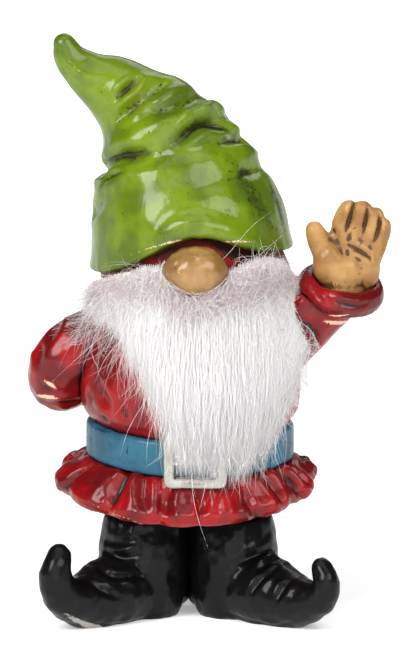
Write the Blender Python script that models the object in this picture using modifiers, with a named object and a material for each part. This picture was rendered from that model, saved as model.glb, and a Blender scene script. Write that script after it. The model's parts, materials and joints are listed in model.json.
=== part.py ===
"""Garden gnome, 120 mm tall: a painted cast-resin figure with a glued faux-fur beard.

The gnome faces -Y and stands on z = 0. Right and left are the gnome's own, so its right side is at -X.
Sizes below are in millimetres, and MM turns them into metres. Every casting is a separate solid with a
glue gap to its neighbours, and pegs, sockets and steel pins join them.
"""

import math

import bmesh
import bpy
from mathutils import Matrix, Vector

MM = 0.001
GLUE_GAP = 0.3

# Driving sizes of the trunk. Half-widths run along X, and DEPTH_SHARE gives the half-depths along Y.
WAIST = 19.2
BELLY = 22.8
DEPTH_SHARE = 0.92
BELT_THICKNESS = 1.8
BELT_HEIGHT = 7.2
BELT_MIDDLE = 36.9
BELT_SIDE_TILT = 0.4
BELT_FRONT_SAG = 1.4
HEM = 27.2
HEM_LEAN = 0.9
HEM_HEIGHT = 28.2
HEM_DIP = 5.7
TROUSERS = 17.2
TROUSERS_BOTTOM = 21.0
TROUSERS_TOP = 31.0
SHOULDER_HEIGHT = 66.5

# Pleats of the tunic's frill: the angles of the grooves between them, in degrees from the front.
PLEAT_GROOVES = (-98, -70, -39, -14, 6, 31, 58, 86, 114, 142, 171, 199, 228)

# Head, nose and hat.
HEAD_CENTRE = (0.0, 0.0, 73.0)
HEAD_SIZE = (18.6, 17.4, 17.0)
NOSE_CENTRE = (1.2, -20.8, 74.9)
NOSE_SIZE = (6.7, 5.3, 5.1)
BRIM_ARCH = 7.0
BRIM_ARCH_WIDTH = 26.0
BRIM_BACK_DROP = 3.4

# The hat's middle line from the brim to the tip, as x, y, z and radius.
HAT_LINE = (
    (0.4, 0.3, 74.4, 21.1),
    (-0.1, 0.4, 78.5, 20.2),
    (-1.1, 0.7, 83.0, 18.9),
    (-2.5, 1.2, 88.0, 17.7),
    (-3.4, 1.6, 92.5, 15.7),
    (-4.6, 2.0, 96.8, 13.6),
    (-7.4, 2.4, 101.4, 11.2),
    (-11.6, 2.6, 105.7, 8.7),
    (-16.0, 2.4, 109.4, 6.9),
    (-20.6, 2.0, 112.2, 4.6),
    (-24.3, 1.6, 115.4, 2.8),
    (-25.7, 1.3, 118.5, 2.1),
)
# Each crease of the hat, as its places along the middle line at the -X and the +X side. Between two creases
# the cloth bulges by the fold height of each side.
HAT_CREASES = ((0.0, 0.0), (0.273, 0.273), (0.48, 0.41), (0.63, 0.515), (0.65, 0.62), (1.0, 1.0))
FOLD_HEIGHTS = ((1.0, 1.0), (1.7, 1.7), (2.8, 1.0), (0.6, 0.8), (0.5, 0.5))

# Boots: one list for each, as distance along the foot's line, height and radius.
LEG_SPACING = 8.8
LEG_MIDDLE = -0.35
SHAFT_RADIUS = 8.6
SHAFT_TOP = 20.7
RIGHT_FOOT = ((-7, 5.2, 5.6), (4, 6.3, 7.6), (13, 5.6, 7.3), (21, 5.4, 5.3), (27, 8.2, 4.0),
              (28.6, 12.4, 3.3), (27.2, 16.2, 2.4))
LEFT_FOOT = ((-7, 5.2, 5.6), (4, 6.3, 7.6), (13, 5.6, 7.3), (21, 5.2, 5.2), (27.6, 7.2, 3.4),
             (29.2, 10.6, 2.8), (27.6, 13.6, 2.1))
RIGHT_TOE_OUT = 40.0
LEFT_TOE_OUT = 42.0

# The raised hand and the arms, as chains of x, y, z and radius.
THUMB = ((28.6, -3.6, 74.0, 2.6), (26.4, -4.0, 78.4, 2.3), (25.5, -4.8, 81.0, 1.8))
FINGERS = (
    ((30.6, -3.0, 76.5, 2.3), (31.4, -3.4, 82.4, 2.1), (32.3, -5.0, 85.4, 1.7)),
    ((33.2, -2.8, 76.5, 2.3), (34.4, -3.2, 82.4, 2.1), (35.5, -4.8, 85.3, 1.7)),
    ((35.3, -2.8, 75.5, 2.2), (37.0, -3.2, 81.2, 2.0), (38.2, -4.8, 84.0, 1.6)),
    ((37.0, -3.0, 74.0, 2.1), (39.0, -3.4, 78.8, 1.8), (40.0, -4.6, 81.8, 1.4)),
)
LEFT_ARM = ((11.0, 1.0, 50.0, 7.8), (17.8, 0.2, 57.6, 8.2), (24.0, -1.2, 63.4, 7.6), (28.6, -2.2, 66.8, 6.6))
RIGHT_ARM = ((-10.0, 1.0, 54.0, 7.4), (-18.0, 1.0, 56.6, 7.6), (-25.4, 1.6, 52.2, 7.3),
             (-26.6, 4.4, 48.1, 6.9), (-24.6, 9.6, 47.8, 6.0))
BACK_HAND = ((-22.6, 13.0, 48.2, 3.4), (-19.0, 18.6, 48.0, 3.6), (-13.6, 23.0, 47.6, 3.9))
BACK_FINGERS = tuple(
    ((-12.6, 23.4, 46.2 + drop, 2.0), (-8.0, 25.0, 46.0 + drop, 1.8), (-4.6 + reach, 25.4, 45.8 + drop, 1.4))
    for drop, reach in ((3.9, -0.4), (1.3, 0.4), (-1.3, 0.0), (-3.7, -1.2))
)
BACK_THUMB = ((-18.4, 19.8, 50.2, 2.1), (-15.2, 22.4, 53.0, 1.9), (-12.2, 23.8, 54.0, 1.4))

# Cuffs: the middle of each rolled ring, the way its opening faces, its radius and the roll's radius.
LEFT_CUFF = ((31.0, -3.0, 68.2), (0.16, -0.30, 0.94), 6.9, 2.2)
RIGHT_CUFF = ((-23.6, 11.4, 48.1), (0.50, 0.84, 0.0), 5.0, 1.8)
LEFT_PIN = ((26.6, -1.9, 64.4), (32.2, -3.2, 76.0))
RIGHT_PIN = ((-25.6, 7.6, 48.3), (-20.4, 16.6, 48.1))
PIN_RADIUS = 0.8
LEFT_SHOULDER_PEG = ((23.0, -0.8, 60.5), (11.0, 0.0, 57.5))
RIGHT_SHOULDER_PEG = ((-23.6, 1.2, 55.0), (-12.0, 0.6, 54.0))
SHOULDER_PEG_RADIUS = 2.6

# Belt buckle.
BUCKLE_WIDTH = 12.6
BUCKLE_HEIGHT = 10.4
BUCKLE_BAR = 1.8
BUCKLE_THICKNESS = 2.8
BUCKLE_CENTRE = (1.1, -21.8, 35.7)

# Paint: linear colour, roughness, metallic.
PAINT = {
    "green_paint": ((0.235, 0.38, 0.03), 0.22, 0.0),
    "red_paint": ((0.36, 0.012, 0.014), 0.3, 0.0),
    "dark_red_paint": ((0.09, 0.012, 0.01), 0.5, 0.0),
    "skin_paint": ((0.56, 0.29, 0.10), 0.38, 0.0),
    "blue_paint": ((0.065, 0.17, 0.25), 0.45, 0.0),
    "silver_paint": ((0.6, 0.6, 0.56), 0.35, 0.6),
    "black_paint": ((0.012, 0.012, 0.012), 0.32, 0.0),
    "steel": ((0.55, 0.55, 0.55), 0.3, 1.0),
    "backing_cloth": ((0.62, 0.58, 0.52), 0.9, 0.0),
    "white_fur": ((0.86, 0.84, 0.82), 0.8, 0.0),
}


def smoothstep(low, high, value):
    share = min(1.0, max(0.0, (value - low) / (high - low)))
    return share * share * (3 - 2 * share)


def belt_height(angle):
    """Height of the belt's middle at an angle from the front, in radians. It is lower at the front and left."""
    return BELT_MIDDLE - BELT_SIDE_TILT * math.sin(angle) - BELT_FRONT_SAG * max(0.0, math.cos(angle)) ** 2


def hem_height(angle):
    """Height of the frill's lower edge, which dips at the front."""
    return HEM_HEIGHT - HEM_DIP * (0.5 + 0.5 * math.cos(angle)) ** 2


def pleat(angle):
    """1 on the crest of a pleat and 0 in the groove between two."""
    degrees = math.degrees(angle) % 360
    grooves = sorted(groove % 360 for groove in PLEAT_GROOVES)
    grooves = [grooves[-1] - 360, *grooves, grooves[0] + 360]
    for low, high in zip(grooves, grooves[1:]):
        if low <= degrees <= high:
            return math.sin(math.pi * (degrees - low) / (high - low)) ** 0.7
    return 0.0


def round_point(half_width, angle, height, depth_share=DEPTH_SHARE, forward=0.0):
    """A point of an upright oval, at an angle from the front, towards +X."""
    return Vector((half_width * math.sin(angle), -half_width * depth_share * math.cos(angle) - forward, height))


def angles(count):
    return [2 * math.pi * step / count for step in range(count)]


def spline_at(points, share):
    """The point at a share of the way along a smooth line through points of any size."""
    place = share * (len(points) - 1)
    index = min(int(place), len(points) - 2)
    t = place - index
    before, start = points[max(index - 1, 0)], points[index]
    end, after = points[index + 1], points[min(index + 2, len(points) - 1)]
    return tuple(
        0.5 * (2 * b + (c - a) * t + (2 * a - 5 * b + 4 * c - d) * t * t + (3 * b - a - 3 * c + d) * t ** 3)
        for a, b, c, d in zip(before, start, end, after)
    )


def add_object(name, bm, cutter=False):
    bmesh.ops.recalc_face_normals(bm, faces=bm.faces)
    if bm.calc_volume(signed=True) < 0:
        bmesh.ops.reverse_faces(bm, faces=bm.faces)
    mesh = bpy.data.meshes.new(name)
    bm.to_mesh(mesh)
    bm.free()
    obj = bpy.data.objects.new(name, mesh)
    collections["cutters" if cutter else "gnome"].objects.link(obj)
    if cutter:
        obj.hide_render = True
        obj.display_type = "WIRE"
    return obj


def loft(name, rings, cutter=False):
    """A closed skin through rings of points in millimetres, with a fan over each end."""
    bm = bmesh.new()
    loops = [[bm.verts.new(point * MM) for point in ring] for ring in rings]
    for lower, upper in zip(loops, loops[1:]):
        for k in range(len(lower)):
            after = (k + 1) % len(lower)
            bm.faces.new((lower[k], lower[after], upper[after], upper[k]))
    for loop in (loops[0], loops[-1]):
        middle = bm.verts.new(sum((v.co for v in loop), Vector()) / len(loop))
        for k, vert in enumerate(loop):
            bm.faces.new((vert, loop[(k + 1) % len(loop)], middle))
    return add_object(name, bm, cutter)


def hoop(name, sections, cutter=False):
    """A closed band through sections that follow each other all the way round."""
    bm = bmesh.new()
    loops = [[bm.verts.new(point * MM) for point in section] for section in sections]
    for k, section in enumerate(loops):
        following = loops[(k + 1) % len(loops)]
        for j in range(len(section)):
            after = (j + 1) % len(section)
            bm.faces.new((section[j], section[after], following[after], following[j]))
    return add_object(name, bm, cutter)


def limb(name, chain, cutter=True):
    """A round limb along a chain of x, y, z and radius, with rounded ends."""
    line = [spline_at(chain, step / 12) for step in range(13)]
    first, last = Vector(line[0][:3]), Vector(line[-1][:3])
    start = (first - Vector(line[1][:3])).normalized()
    end = (last - Vector(line[-2][:3])).normalized()
    cap = [(math.sin(t), math.cos(t)) for t in (0.45, 0.9, 1.25, 1.5)]
    head = [(*(first + start * line[0][3] * out), line[0][3] * narrow) for out, narrow in reversed(cap)]
    tail = [(*(last + end * line[-1][3] * out), line[-1][3] * narrow) for out, narrow in cap]
    curve = bpy.data.curves.new(name, "CURVE")
    curve.dimensions = "3D"
    curve.bevel_depth = MM
    curve.bevel_resolution = 6
    curve.use_fill_caps = True
    spline = curve.splines.new("POLY")
    points = head + line + tail
    spline.points.add(len(points) - 1)
    for target, (x, y, z, radius) in zip(spline.points, points):
        target.co = (x * MM, y * MM, z * MM, 1)
        target.radius = radius
    obj = bpy.data.objects.new(name, curve)
    collections["cutters"].objects.link(obj)
    return made_mesh(obj, cutter)


def made_mesh(obj, cutter):
    """The mesh of a curve object, with its caps welded. The curve is removed."""
    bpy.context.view_layer.update()
    graph = bpy.context.evaluated_depsgraph_get()
    bm = bmesh.new()
    mesh = bpy.data.meshes.new_from_object(obj.evaluated_get(graph))
    mesh.transform(obj.matrix_world)
    bm.from_mesh(mesh)
    bpy.data.meshes.remove(mesh)
    bmesh.ops.remove_doubles(bm, verts=bm.verts, dist=1e-6)
    name = obj.name
    bpy.data.objects.remove(obj)
    return add_object(name, bm, cutter)


def ball(name, centre, size, cutter=True):
    """An ellipsoid with the given half-sizes."""
    bm = bmesh.new()
    bmesh.ops.create_uvsphere(bm, u_segments=24, v_segments=12, radius=1.0)
    bm.transform(Matrix.Translation(Vector(centre) * MM) @ Matrix.Diagonal((*(Vector(size) * MM), 1)))
    return add_object(name, bm, cutter)


def rod(name, start, end, radius, cutter=True, segments=20):
    """A straight round rod between two points."""
    start, end = Vector(start), Vector(end)
    along = end - start
    bm = bmesh.new()
    bmesh.ops.create_cone(bm, cap_ends=True, segments=segments, radius1=radius * MM, radius2=radius * MM,
                          depth=along.length * MM)
    turn = along.to_track_quat("Z", "Y").to_matrix().to_4x4()
    bm.transform(Matrix.Translation((start + end) / 2 * MM) @ turn)
    return add_object(name, bm, cutter)


def block(name, low, high):
    """A box between two corners, for cutting."""
    low, high = Vector(low), Vector(high)
    bm = bmesh.new()
    bmesh.ops.create_cube(bm, size=1.0)
    bm.transform(Matrix.Translation((low + high) / 2 * MM) @ Matrix.Diagonal((*((high - low) * MM), 1)))
    return add_object(name, bm, cutter=True)


def fused(name, shapes, voxel, triangles):
    """One soft solid out of overlapping shapes, which are then removed."""
    bm = bmesh.new()
    for shape in shapes:
        bm.from_mesh(shape.data)
    obj = add_object(name, bm)
    for shape in shapes:
        bpy.data.objects.remove(shape)
    remesh = obj.modifiers.new("fuse", "REMESH")
    remesh.mode = "VOXEL"
    remesh.voxel_size = voxel * MM
    smooth = obj.modifiers.new("soften", "SMOOTH")
    smooth.factor = 0.5
    smooth.iterations = 6
    settle(obj)
    thin = obj.modifiers.new("thin", "DECIMATE")
    thin.ratio = triangles / sum(len(face.vertices) - 2 for face in obj.data.polygons)
    settle(obj)
    return obj


def settle(obj):
    """Applies the modifiers."""
    bpy.context.view_layer.update()
    graph = bpy.context.evaluated_depsgraph_get()
    mesh = bpy.data.meshes.new_from_object(obj.evaluated_get(graph))
    obj.modifiers.clear()
    obj.data = mesh


def boolean(obj, other, operation):
    step = obj.modifiers.new(other.name, "BOOLEAN")
    step.operation = operation
    step.object = other
    settle(obj)


def cut(obj, other):
    boolean(obj, other, "DIFFERENCE")


def join(obj, other):
    boolean(obj, other, "UNION")


def grown(obj, by=GLUE_GAP):
    """A cutter that stands a gap proud of a piece all over."""
    bm = bmesh.new()
    bm.from_mesh(obj.data)
    bm.normal_update()
    moves = [vert.normal * by * MM for vert in bm.verts]
    for vert, move in zip(bm.verts, moves):
        vert.co += move
    return add_object(obj.name + "_seat", bm, cutter=True)


def peg(piece, host, root, tip, radius):
    """A peg on a piece and the hole for it in its host."""
    along = (Vector(tip) - Vector(root)).normalized()
    join(piece, rod(piece.name + "_peg", root, tip, radius))
    deeper = Vector(tip) + along * GLUE_GAP
    cut(host, rod(piece.name + "_socket", Vector(root) - along, deeper, radius + GLUE_GAP))


def make_torso():
    """The upper tunic: a waist that the belt sits on, the belly over it, and sloping shoulders."""
    levels = (
        # height, half-width, forward, share of the belt's tilt
        (BELT_MIDDLE - 3.6, WAIST, 0.5, 1.0),
        (BELT_MIDDLE + 3.9, WAIST, 0.5, 1.0),
        (BELT_MIDDLE + 4.7, BELLY - 1.8, 0.8, 1.0),
        (BELT_MIDDLE + 6.6, BELLY - 0.5, 1.0, 0.8),
        (49.0, BELLY, 1.2, 0.4),
        (55.0, BELLY - 1.0, 0.8, 0.1),
        (60.0, BELLY - 3.0, 0.3, 0.0),
        (64.0, BELLY - 5.6, 0.0, 0.0),
        (SHOULDER_HEIGHT, BELLY - 8.6, 0.0, 0.0),
    )
    rings = []
    for height, half_width, forward, follow in levels:
        rings.append([
            round_point(half_width, angle, height + follow * (belt_height(angle) - BELT_MIDDLE), forward=forward)
            for angle in angles(36)
        ])
    return loft("torso", rings)


def make_belt():
    """A band round the waist."""
    half = BELT_HEIGHT / 2
    inner = WAIST + GLUE_GAP
    outer = inner + BELT_THICKNESS
    outline = ((inner, -half), (outer - 0.4, -half), (outer, 0.4 - half), (outer, half - 0.4),
               (outer - 0.4, half), (inner, half))
    sections = []
    for angle in angles(48):
        middle = belt_height(angle)
        sections.append([round_point(size, angle, middle + rise, forward=0.5) for size, rise in outline])
    return hoop("belt", sections)


def make_frill():
    """The tunic's pleated skirt, a puffed ring that hangs below the belt."""
    inner = TROUSERS + GLUE_GAP
    sections = []
    for angle in angles(13 * 6):
        top = belt_height(angle) - BELT_HEIGHT / 2 - GLUE_GAP
        hem = hem_height(angle)
        wave = pleat(angle)
        flare = HEM - HEM_LEAN * math.sin(angle) - 2.2 * (1 - wave)
        outline = (
            (inner, top),
            (WAIST + 2.6, top),
            (WAIST + 3.0 + 0.7 * wave, top - 1.1),
            (flare - 1.9, hem + 4.6),
            (flare, hem + 2.6),
            (flare - 0.2, hem + 1.0),
            (flare - 1.4, hem),
            (flare - 3.0, hem + 1.2),
            (WAIST + 2.0 + 1.2 * wave, hem + 3.6),
            (inner, hem + 4.0),
        )
        sections.append([round_point(size, angle, height, forward=0.8 * (size > WAIST))
                         for size, height in outline])
    return hoop("tunic_frill", sections)


def make_trousers():
    """The hip block under the frill. Its two leg pegs hold the boots."""
    ring = [round_point(TROUSERS, angle, 0.0, depth_share=0.82) for angle in angles(32)]
    levels = ((TROUSERS_BOTTOM, 0.94), (TROUSERS_BOTTOM + 1.2, 1.0), (TROUSERS_TOP, 1.0))
    return loft("trousers", [[Vector((p.x * size, p.y * size, height)) for p in ring] for height, size in levels])


def leg_place(side):
    return LEG_MIDDLE + side * LEG_SPACING


def make_boot(name, side, foot, toe_out):
    """A slouched boot with a curled toe. side is -1 for the gnome's right and 1 for its left."""
    turn = math.radians(toe_out)
    ahead = Vector((side * math.sin(turn), -math.cos(turn)))
    ankle = Vector((leg_place(side), 0.0))
    chain = [(*(ankle + ahead * along), height, radius) for along, height, radius in foot]
    slouch = ankle + Vector((side * 0.4, -1.4))
    shaft = ((*slouch, 4.5, SHAFT_RADIUS - 0.2), (*slouch, 11.0, SHAFT_RADIUS + 0.8),
             (*ankle, SHAFT_TOP - 2.0, SHAFT_RADIUS + 0.4))
    boot = fused(name, [limb("foot", chain), limb("shaft", shaft)], 0.7, 900)
    middle = LEG_MIDDLE + side * GLUE_GAP / 2
    cut(boot, block(name + "_ground", (-60, -60, -20), (60, 60, 0)))
    cut(boot, block(name + "_top", (-60, -60, SHAFT_TOP), (60, 60, 60)))
    cut(boot, block(name + "_between", (min(middle, middle - side * 60), -60, -20),
                    (max(middle, middle - side * 60), 60, 60)))
    return boot


def hat_radial(share, angle):
    """The hat's middle, and the outward direction and radius there, at a share of its length."""
    x, y, z, radius = spline_at(HAT_LINE, share)
    step = 0.01
    ahead = Vector(spline_at(HAT_LINE, min(share + step, 1.0))[:3])
    behind = Vector(spline_at(HAT_LINE, max(share - step, 0.0))[:3])
    along = (ahead - behind).normalized()
    side = Vector((0, 1, 0)).cross(along).normalized()
    front = side.cross(along).normalized()
    out = side * math.sin(angle) + front * math.cos(angle)
    return Vector((x, y, z)), out, radius


def hat_fold(share, angle):
    """How far the cloth bulges out between two creases."""
    across = 0.5 + 0.5 * math.sin(angle)
    creases = [low + (high - low) * across for low, high in HAT_CREASES]
    for start, end, (low, high) in zip(creases, creases[1:], FOLD_HEIGHTS):
        if start <= share <= end:
            place = ((share - start) / (end - start)) ** 2
            sides = 0.35 + 0.65 * abs(math.sin(angle))
            return (low + (high - low) * across) * sides * (1 - abs(2 * place - 1) ** 2.4)
    return 0.0


def make_hat():
    """The slouched pointed hat: a cone along a bent line, bulging between its creases, arched over the nose."""
    rings = []
    levels, around = 33, 32
    for level in range(levels + 1):
        share = level / levels
        ring = []
        for angle in angles(around):
            middle, out, radius = hat_radial(share, angle)
            degrees = math.degrees((angle + math.pi) % (2 * math.pi) - math.pi)
            arch = BRIM_ARCH * math.exp(-((degrees - 2) ** 2) / (2 * BRIM_ARCH_WIDTH ** 2))
            arch -= BRIM_BACK_DROP * smoothstep(90.0, 180.0, abs(degrees))
            arch *= 1 - smoothstep(0.0, 0.3, share)
            depth = 1.0 - 0.05 * abs(math.cos(angle)) * (1 - share)
            ring.append(middle + out * (radius * depth + hat_fold(share, angle)) + Vector((0, 0, arch)))
        rings.append(ring)
    x, y, z, radius = HAT_LINE[-1]
    along = (Vector(HAT_LINE[-1][:3]) - Vector(HAT_LINE[-2][:3])).normalized()
    for turn in (0.4, 0.8, 1.2):
        rise = along * radius * math.sin(turn)
        flat = math.cos(turn)
        rings.append([Vector((x, y, z)) + rise + (point - Vector((x, y, z))) * flat for point in rings[levels]])
    return loft("hat", rings)


def make_left_hand():
    """The raised hand, palm forward, with its fingers together."""
    shapes = [
        ball("palm", (33.0, -3.0, 74.0), (5.7, 2.9, 6.2)),
        ball("thumb_base", (28.9, -4.4, 73.6), (3.7, 2.9, 5.0)),
        ball("palm_edge", (36.0, -3.8, 72.6), (3.0, 2.7, 4.6)),
        limb("wrist", ((31.0, -2.8, 66.8, 4.9), (31.6, -3.0, 72.0, 5.1))),
        limb("thumb", THUMB),
    ]
    shapes += [limb("finger", finger) for finger in FINGERS]
    return fused("left_hand", shapes, 0.45, 1100)


def make_right_hand():
    """The hand that rests on the back."""
    shapes = [limb("back_of_hand", BACK_HAND), ball("knuckles", (-13.4, 23.4, 47.0), (3.4, 2.6, 5.2))]
    shapes += [limb("finger", finger) for finger in BACK_FINGERS]
    shapes.append(limb("thumb", BACK_THUMB))
    return fused("right_hand", shapes, 0.5, 700)


def make_cuff(name, place):
    """A rolled cuff: a soft, slightly uneven ring that leans with the wrist."""
    centre, facing, ring_radius, roll_radius = place
    turn = Vector(facing).to_track_quat("Z", "Y").to_matrix()
    sections = []
    for angle in angles(28):
        out = Vector((math.cos(angle), math.sin(angle), 0))
        puff = roll_radius * (1 + 0.07 * math.sin(3 * angle + 1) + 0.05 * math.sin(5 * angle))
        section = []
        for roll in angles(8):
            rise = Vector((0, 0, 1.25 * puff * math.sin(roll)))
            section.append(Vector(centre) + turn @ (out * (ring_radius + puff * math.cos(roll)) + rise))
        sections.append(section)
    return hoop(name, sections)


def make_buckle(seats):
    """A square frame with its prong, hollowed behind to sit on the belt and its neighbours."""
    curve = bpy.data.curves.new("belt_buckle", "CURVE")
    curve.dimensions = "2D"
    curve.fill_mode = "BOTH"
    curve.extrude = (BUCKLE_THICKNESS / 2 - 0.25) * MM
    curve.bevel_depth = 0.25 * MM
    curve.bevel_resolution = 1
    for inset in (0.25, BUCKLE_BAR - 0.25):
        half_width, half_height = BUCKLE_WIDTH / 2 - inset, BUCKLE_HEIGHT / 2 - inset
        corner = 0.9 if inset < 1 else 0.5
        spline = curve.splines.new("POLY")
        spline.use_cyclic_u = True
        outline = []
        for across, up, first in ((1, 1, 0), (-1, 1, 90), (-1, -1, 180), (1, -1, 270)):
            for step in range(4):
                turn = math.radians(first + 30 * step)
                outline.append((across * (half_width - corner) + corner * math.cos(turn),
                                up * (half_height - corner) + corner * math.sin(turn)))
        spline.points.add(len(outline) - 1)
        for target, (x, y) in zip(spline.points, outline):
            target.co = (x * MM, y * MM, 0, 1)
    obj = bpy.data.objects.new("belt_buckle", curve)
    collections["cutters"].objects.link(obj)
    obj.matrix_world = Matrix.Translation(Vector(BUCKLE_CENTRE) * MM) @ Matrix.Rotation(math.radians(90), 4, "X")
    buckle = made_mesh(obj, cutter=False)
    x, y, z = BUCKLE_CENTRE
    reach = BUCKLE_WIDTH / 2 - BUCKLE_BAR / 2
    front = y - BUCKLE_THICKNESS / 2 + 0.7
    join(buckle, rod("prong", (x - reach, front, z), (x + reach, front, z), 0.55, segments=10))
    around_belt = WAIST + GLUE_GAP + BELT_THICKNESS + GLUE_GAP
    cut(buckle, loft("belt_seat", [[round_point(around_belt, angle, height, forward=0.5) for angle in angles(56)]
                                   for height in (20.0, 50.0)], cutter=True))
    for seat in seats:
        cut(buckle, seat)
    return buckle


BEARD_EDGE = (
    # angle from the front, height of the top edge, height of the lower edge, thickness
    (-58, 68.5, 62.5, 1.6),
    (-46, 69.5, 58.0, 2.8),
    (-32, 70.0, 51.0, 3.8),
    (-19, 69.6, 43.0, 4.6),
    (-8, 68.6, 35.0, 5.0),
    (3, 68.2, 31.8, 5.0),
    (14, 68.6, 31.6, 5.0),
    (26, 69.6, 32.6, 4.8),
    (38, 70.6, 35.4, 4.4),
    (49, 71.5, 41.0, 3.6),
    (59, 72.0, 50.0, 2.4),
)


def front_depth(height):
    """Half-width of an oval that clears the head, tunic, belt and buckle at this height."""
    waist = BELLY + 1.6
    clear = [(31.0, waist), (42.0, waist), (46.0, BELLY + 1.4), (52.0, BELLY + 1.2), (58.0, BELLY - 0.4),
             (63.0, BELLY - 2.2), (68.0, BELLY - 2.4), (73.0, BELLY - 2.2)]
    for (low, start), (high, end) in zip(clear, clear[1:]):
        if height <= high:
            return start + (end - start) * max(0.0, (height - low) / (high - low))
    return clear[-1][1]


def front_sheet(name, edge, inner_gap, thickness_share):
    """A curved slab over the gnome's front. edge says where it starts and ends at each angle."""
    rings = []
    rows = 7
    columns = 16
    for column in range(columns + 1):
        degrees, top, bottom, thickness = spline_at(edge, column / columns)
        angle = math.radians(degrees)
        ring = []
        for row in range(rows + 1):
            height = bottom + (top - bottom) * row / rows
            bulge = math.sin(math.pi * (0.12 + 0.8 * row / rows))
            size = front_depth(height) + inner_gap + thickness * thickness_share * bulge
            ring.append(round_point(size, angle, height, forward=0.6))
        for row in reversed(range(rows + 1)):
            height = bottom + (top - bottom) * row / rows
            ring.append(round_point(front_depth(height) + inner_gap, angle, height, forward=0.6))
        rings.append(ring)
    return loft(name, rings)


def make_beard():
    return front_sheet("beard_fur", BEARD_EDGE, 1.5, 1.0)


def make_backing():
    """The woven backing that the pile grows from, a patch glued under the nose."""
    edge = [(degrees * 0.9, top - 1.0, max(bottom + 2.5, 48.0), 0.9) for degrees, top, bottom, _ in BEARD_EDGE]
    return front_sheet("beard_backing", edge, 0.3, 1.0)


def paint(obj, slot):
    colour, roughness, metallic = PAINT[slot]
    material = bpy.data.materials.get(slot)
    if material is None:
        material = bpy.data.materials.new(slot)
        material.use_nodes = True
        shader = material.node_tree.nodes["Principled BSDF"]
        shader.inputs["Base Color"].default_value = (*colour, 1)
        shader.inputs["Roughness"].default_value = roughness
        shader.inputs["Metallic"].default_value = metallic
        material.diffuse_color = (*colour, 1)
    obj.data.materials.clear()
    obj.data.materials.append(material)
    obj.data.shade_smooth()
    obj.data.set_sharp_from_angle(angle=math.radians(40))


def centre_on_origin(parts):
    """Parents the parts to one empty, and moves it so that their box stands centred on the origin."""
    corners = [vert.co for obj in parts for vert in obj.data.vertices]
    middle_x = (min(c.x for c in corners) + max(c.x for c in corners)) / 2
    middle_y = (min(c.y for c in corners) + max(c.y for c in corners)) / 2
    root = bpy.data.objects.new("gnome_origin", None)
    collections["gnome"].objects.link(root)
    root.location = (-middle_x, -middle_y, 0)
    for obj in parts:
        obj.parent = root


def build_trunk(torso):
    belt, frill = make_belt(), make_frill()
    trousers = make_trousers()
    peg(trousers, torso, (0, 0, TROUSERS_TOP - 1), (0, 0, 39.0), 5.0)
    boots = {
        "right": make_boot("right_boot", -1, RIGHT_FOOT, RIGHT_TOE_OUT),
        "left": make_boot("left_boot", 1, LEFT_FOOT, LEFT_TOE_OUT),
    }
    for side, boot in zip((-1, 1), boots.values()):
        x = leg_place(side)
        peg(trousers, boot, (x, 0, TROUSERS_BOTTOM + 1), (x, 0, 13.0), 4.6)
    return {"torso": torso, "belt": belt, "tunic_frill": frill, "trousers": trousers,
            "right_boot": boots["right"], "left_boot": boots["left"]}


def build_head(torso):
    head = ball("head", HEAD_CENTRE, HEAD_SIZE, cutter=False)
    hat = make_hat()
    cut(head, block("head_base", (-40, -40, 40), (40, 40, SHOULDER_HEIGHT + GLUE_GAP)))
    cut(hat, ball("head_room", HEAD_CENTRE, Vector(HEAD_SIZE) + Vector((GLUE_GAP,) * 3)))
    peg(head, torso, (0, 0, SHOULDER_HEIGHT + 1), (0, 0, 60.0), 4.5)
    nose = ball("nose", NOSE_CENTRE, NOSE_SIZE, cutter=False)
    cut(head, grown(nose))
    x, y, z = NOSE_CENTRE
    peg(nose, head, (x, y + 2, z), (x, y + 8, z), 1.6)
    return {"head": head, "hat": hat, "nose": nose}


def build_arm(side, chain, cuff_place, hand, pin_ends, shoulder_peg, torso, torso_seat):
    """Sleeve, cuff, hand and wrist pin of one arm, each seated against the next."""
    sleeve = fused(side + "_sleeve", [limb("arm", chain)], 0.8, 520)
    cuff = make_cuff(side + "_cuff", cuff_place)
    centre, facing = Vector(cuff_place[0]), Vector(cuff_place[1]).normalized()
    beyond = rod(side + "_beyond", centre - facing * 0.6, centre + facing * 20, 14)
    sleeve_seat, hand_seat = grown(sleeve), grown(hand)
    cut(sleeve, beyond)
    cut(sleeve_seat, rod(side + "_past", centre - facing * 0.3, centre + facing * 20, 14))
    cut(sleeve, torso_seat)
    cut(sleeve, ball(side + "_neck_room", HEAD_CENTRE, Vector(HEAD_SIZE) + Vector((GLUE_GAP,) * 3)))
    for seat in (hand_seat, sleeve_seat, torso_seat):
        cut(cuff, seat)
    cut(hand, rod(side + "_wrist_end", centre - facing * 30, centre - facing * 0.3, 14))
    start, end = Vector(pin_ends[0]), Vector(pin_ends[1])
    spare = (end - start).normalized() * GLUE_GAP
    drill = rod(side + "_drill", start - spare, end + spare, PIN_RADIUS + GLUE_GAP)
    cut(sleeve, drill)
    cut(hand, drill)
    pin = rod(side + "_wrist_pin", start, end, PIN_RADIUS, cutter=False, segments=14)
    peg(sleeve, torso, *shoulder_peg, SHOULDER_PEG_RADIUS)
    return {side + "_sleeve": sleeve, side + "_cuff": cuff, side + "_hand": hand, side + "_wrist_pin": pin}


MATERIALS = {
    "hat": "green_paint", "head": "dark_red_paint", "nose": "skin_paint",
    "beard_fur": "white_fur", "beard_backing": "backing_cloth",
    "torso": "red_paint", "tunic_frill": "red_paint", "belt": "blue_paint", "belt_buckle": "silver_paint",
    "left_sleeve": "red_paint", "left_cuff": "red_paint", "left_hand": "skin_paint", "left_wrist_pin": "steel",
    "right_sleeve": "red_paint", "right_cuff": "red_paint", "right_hand": "skin_paint",
    "right_wrist_pin": "steel",
    "trousers": "dark_red_paint", "right_boot": "black_paint", "left_boot": "black_paint",
}

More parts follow.
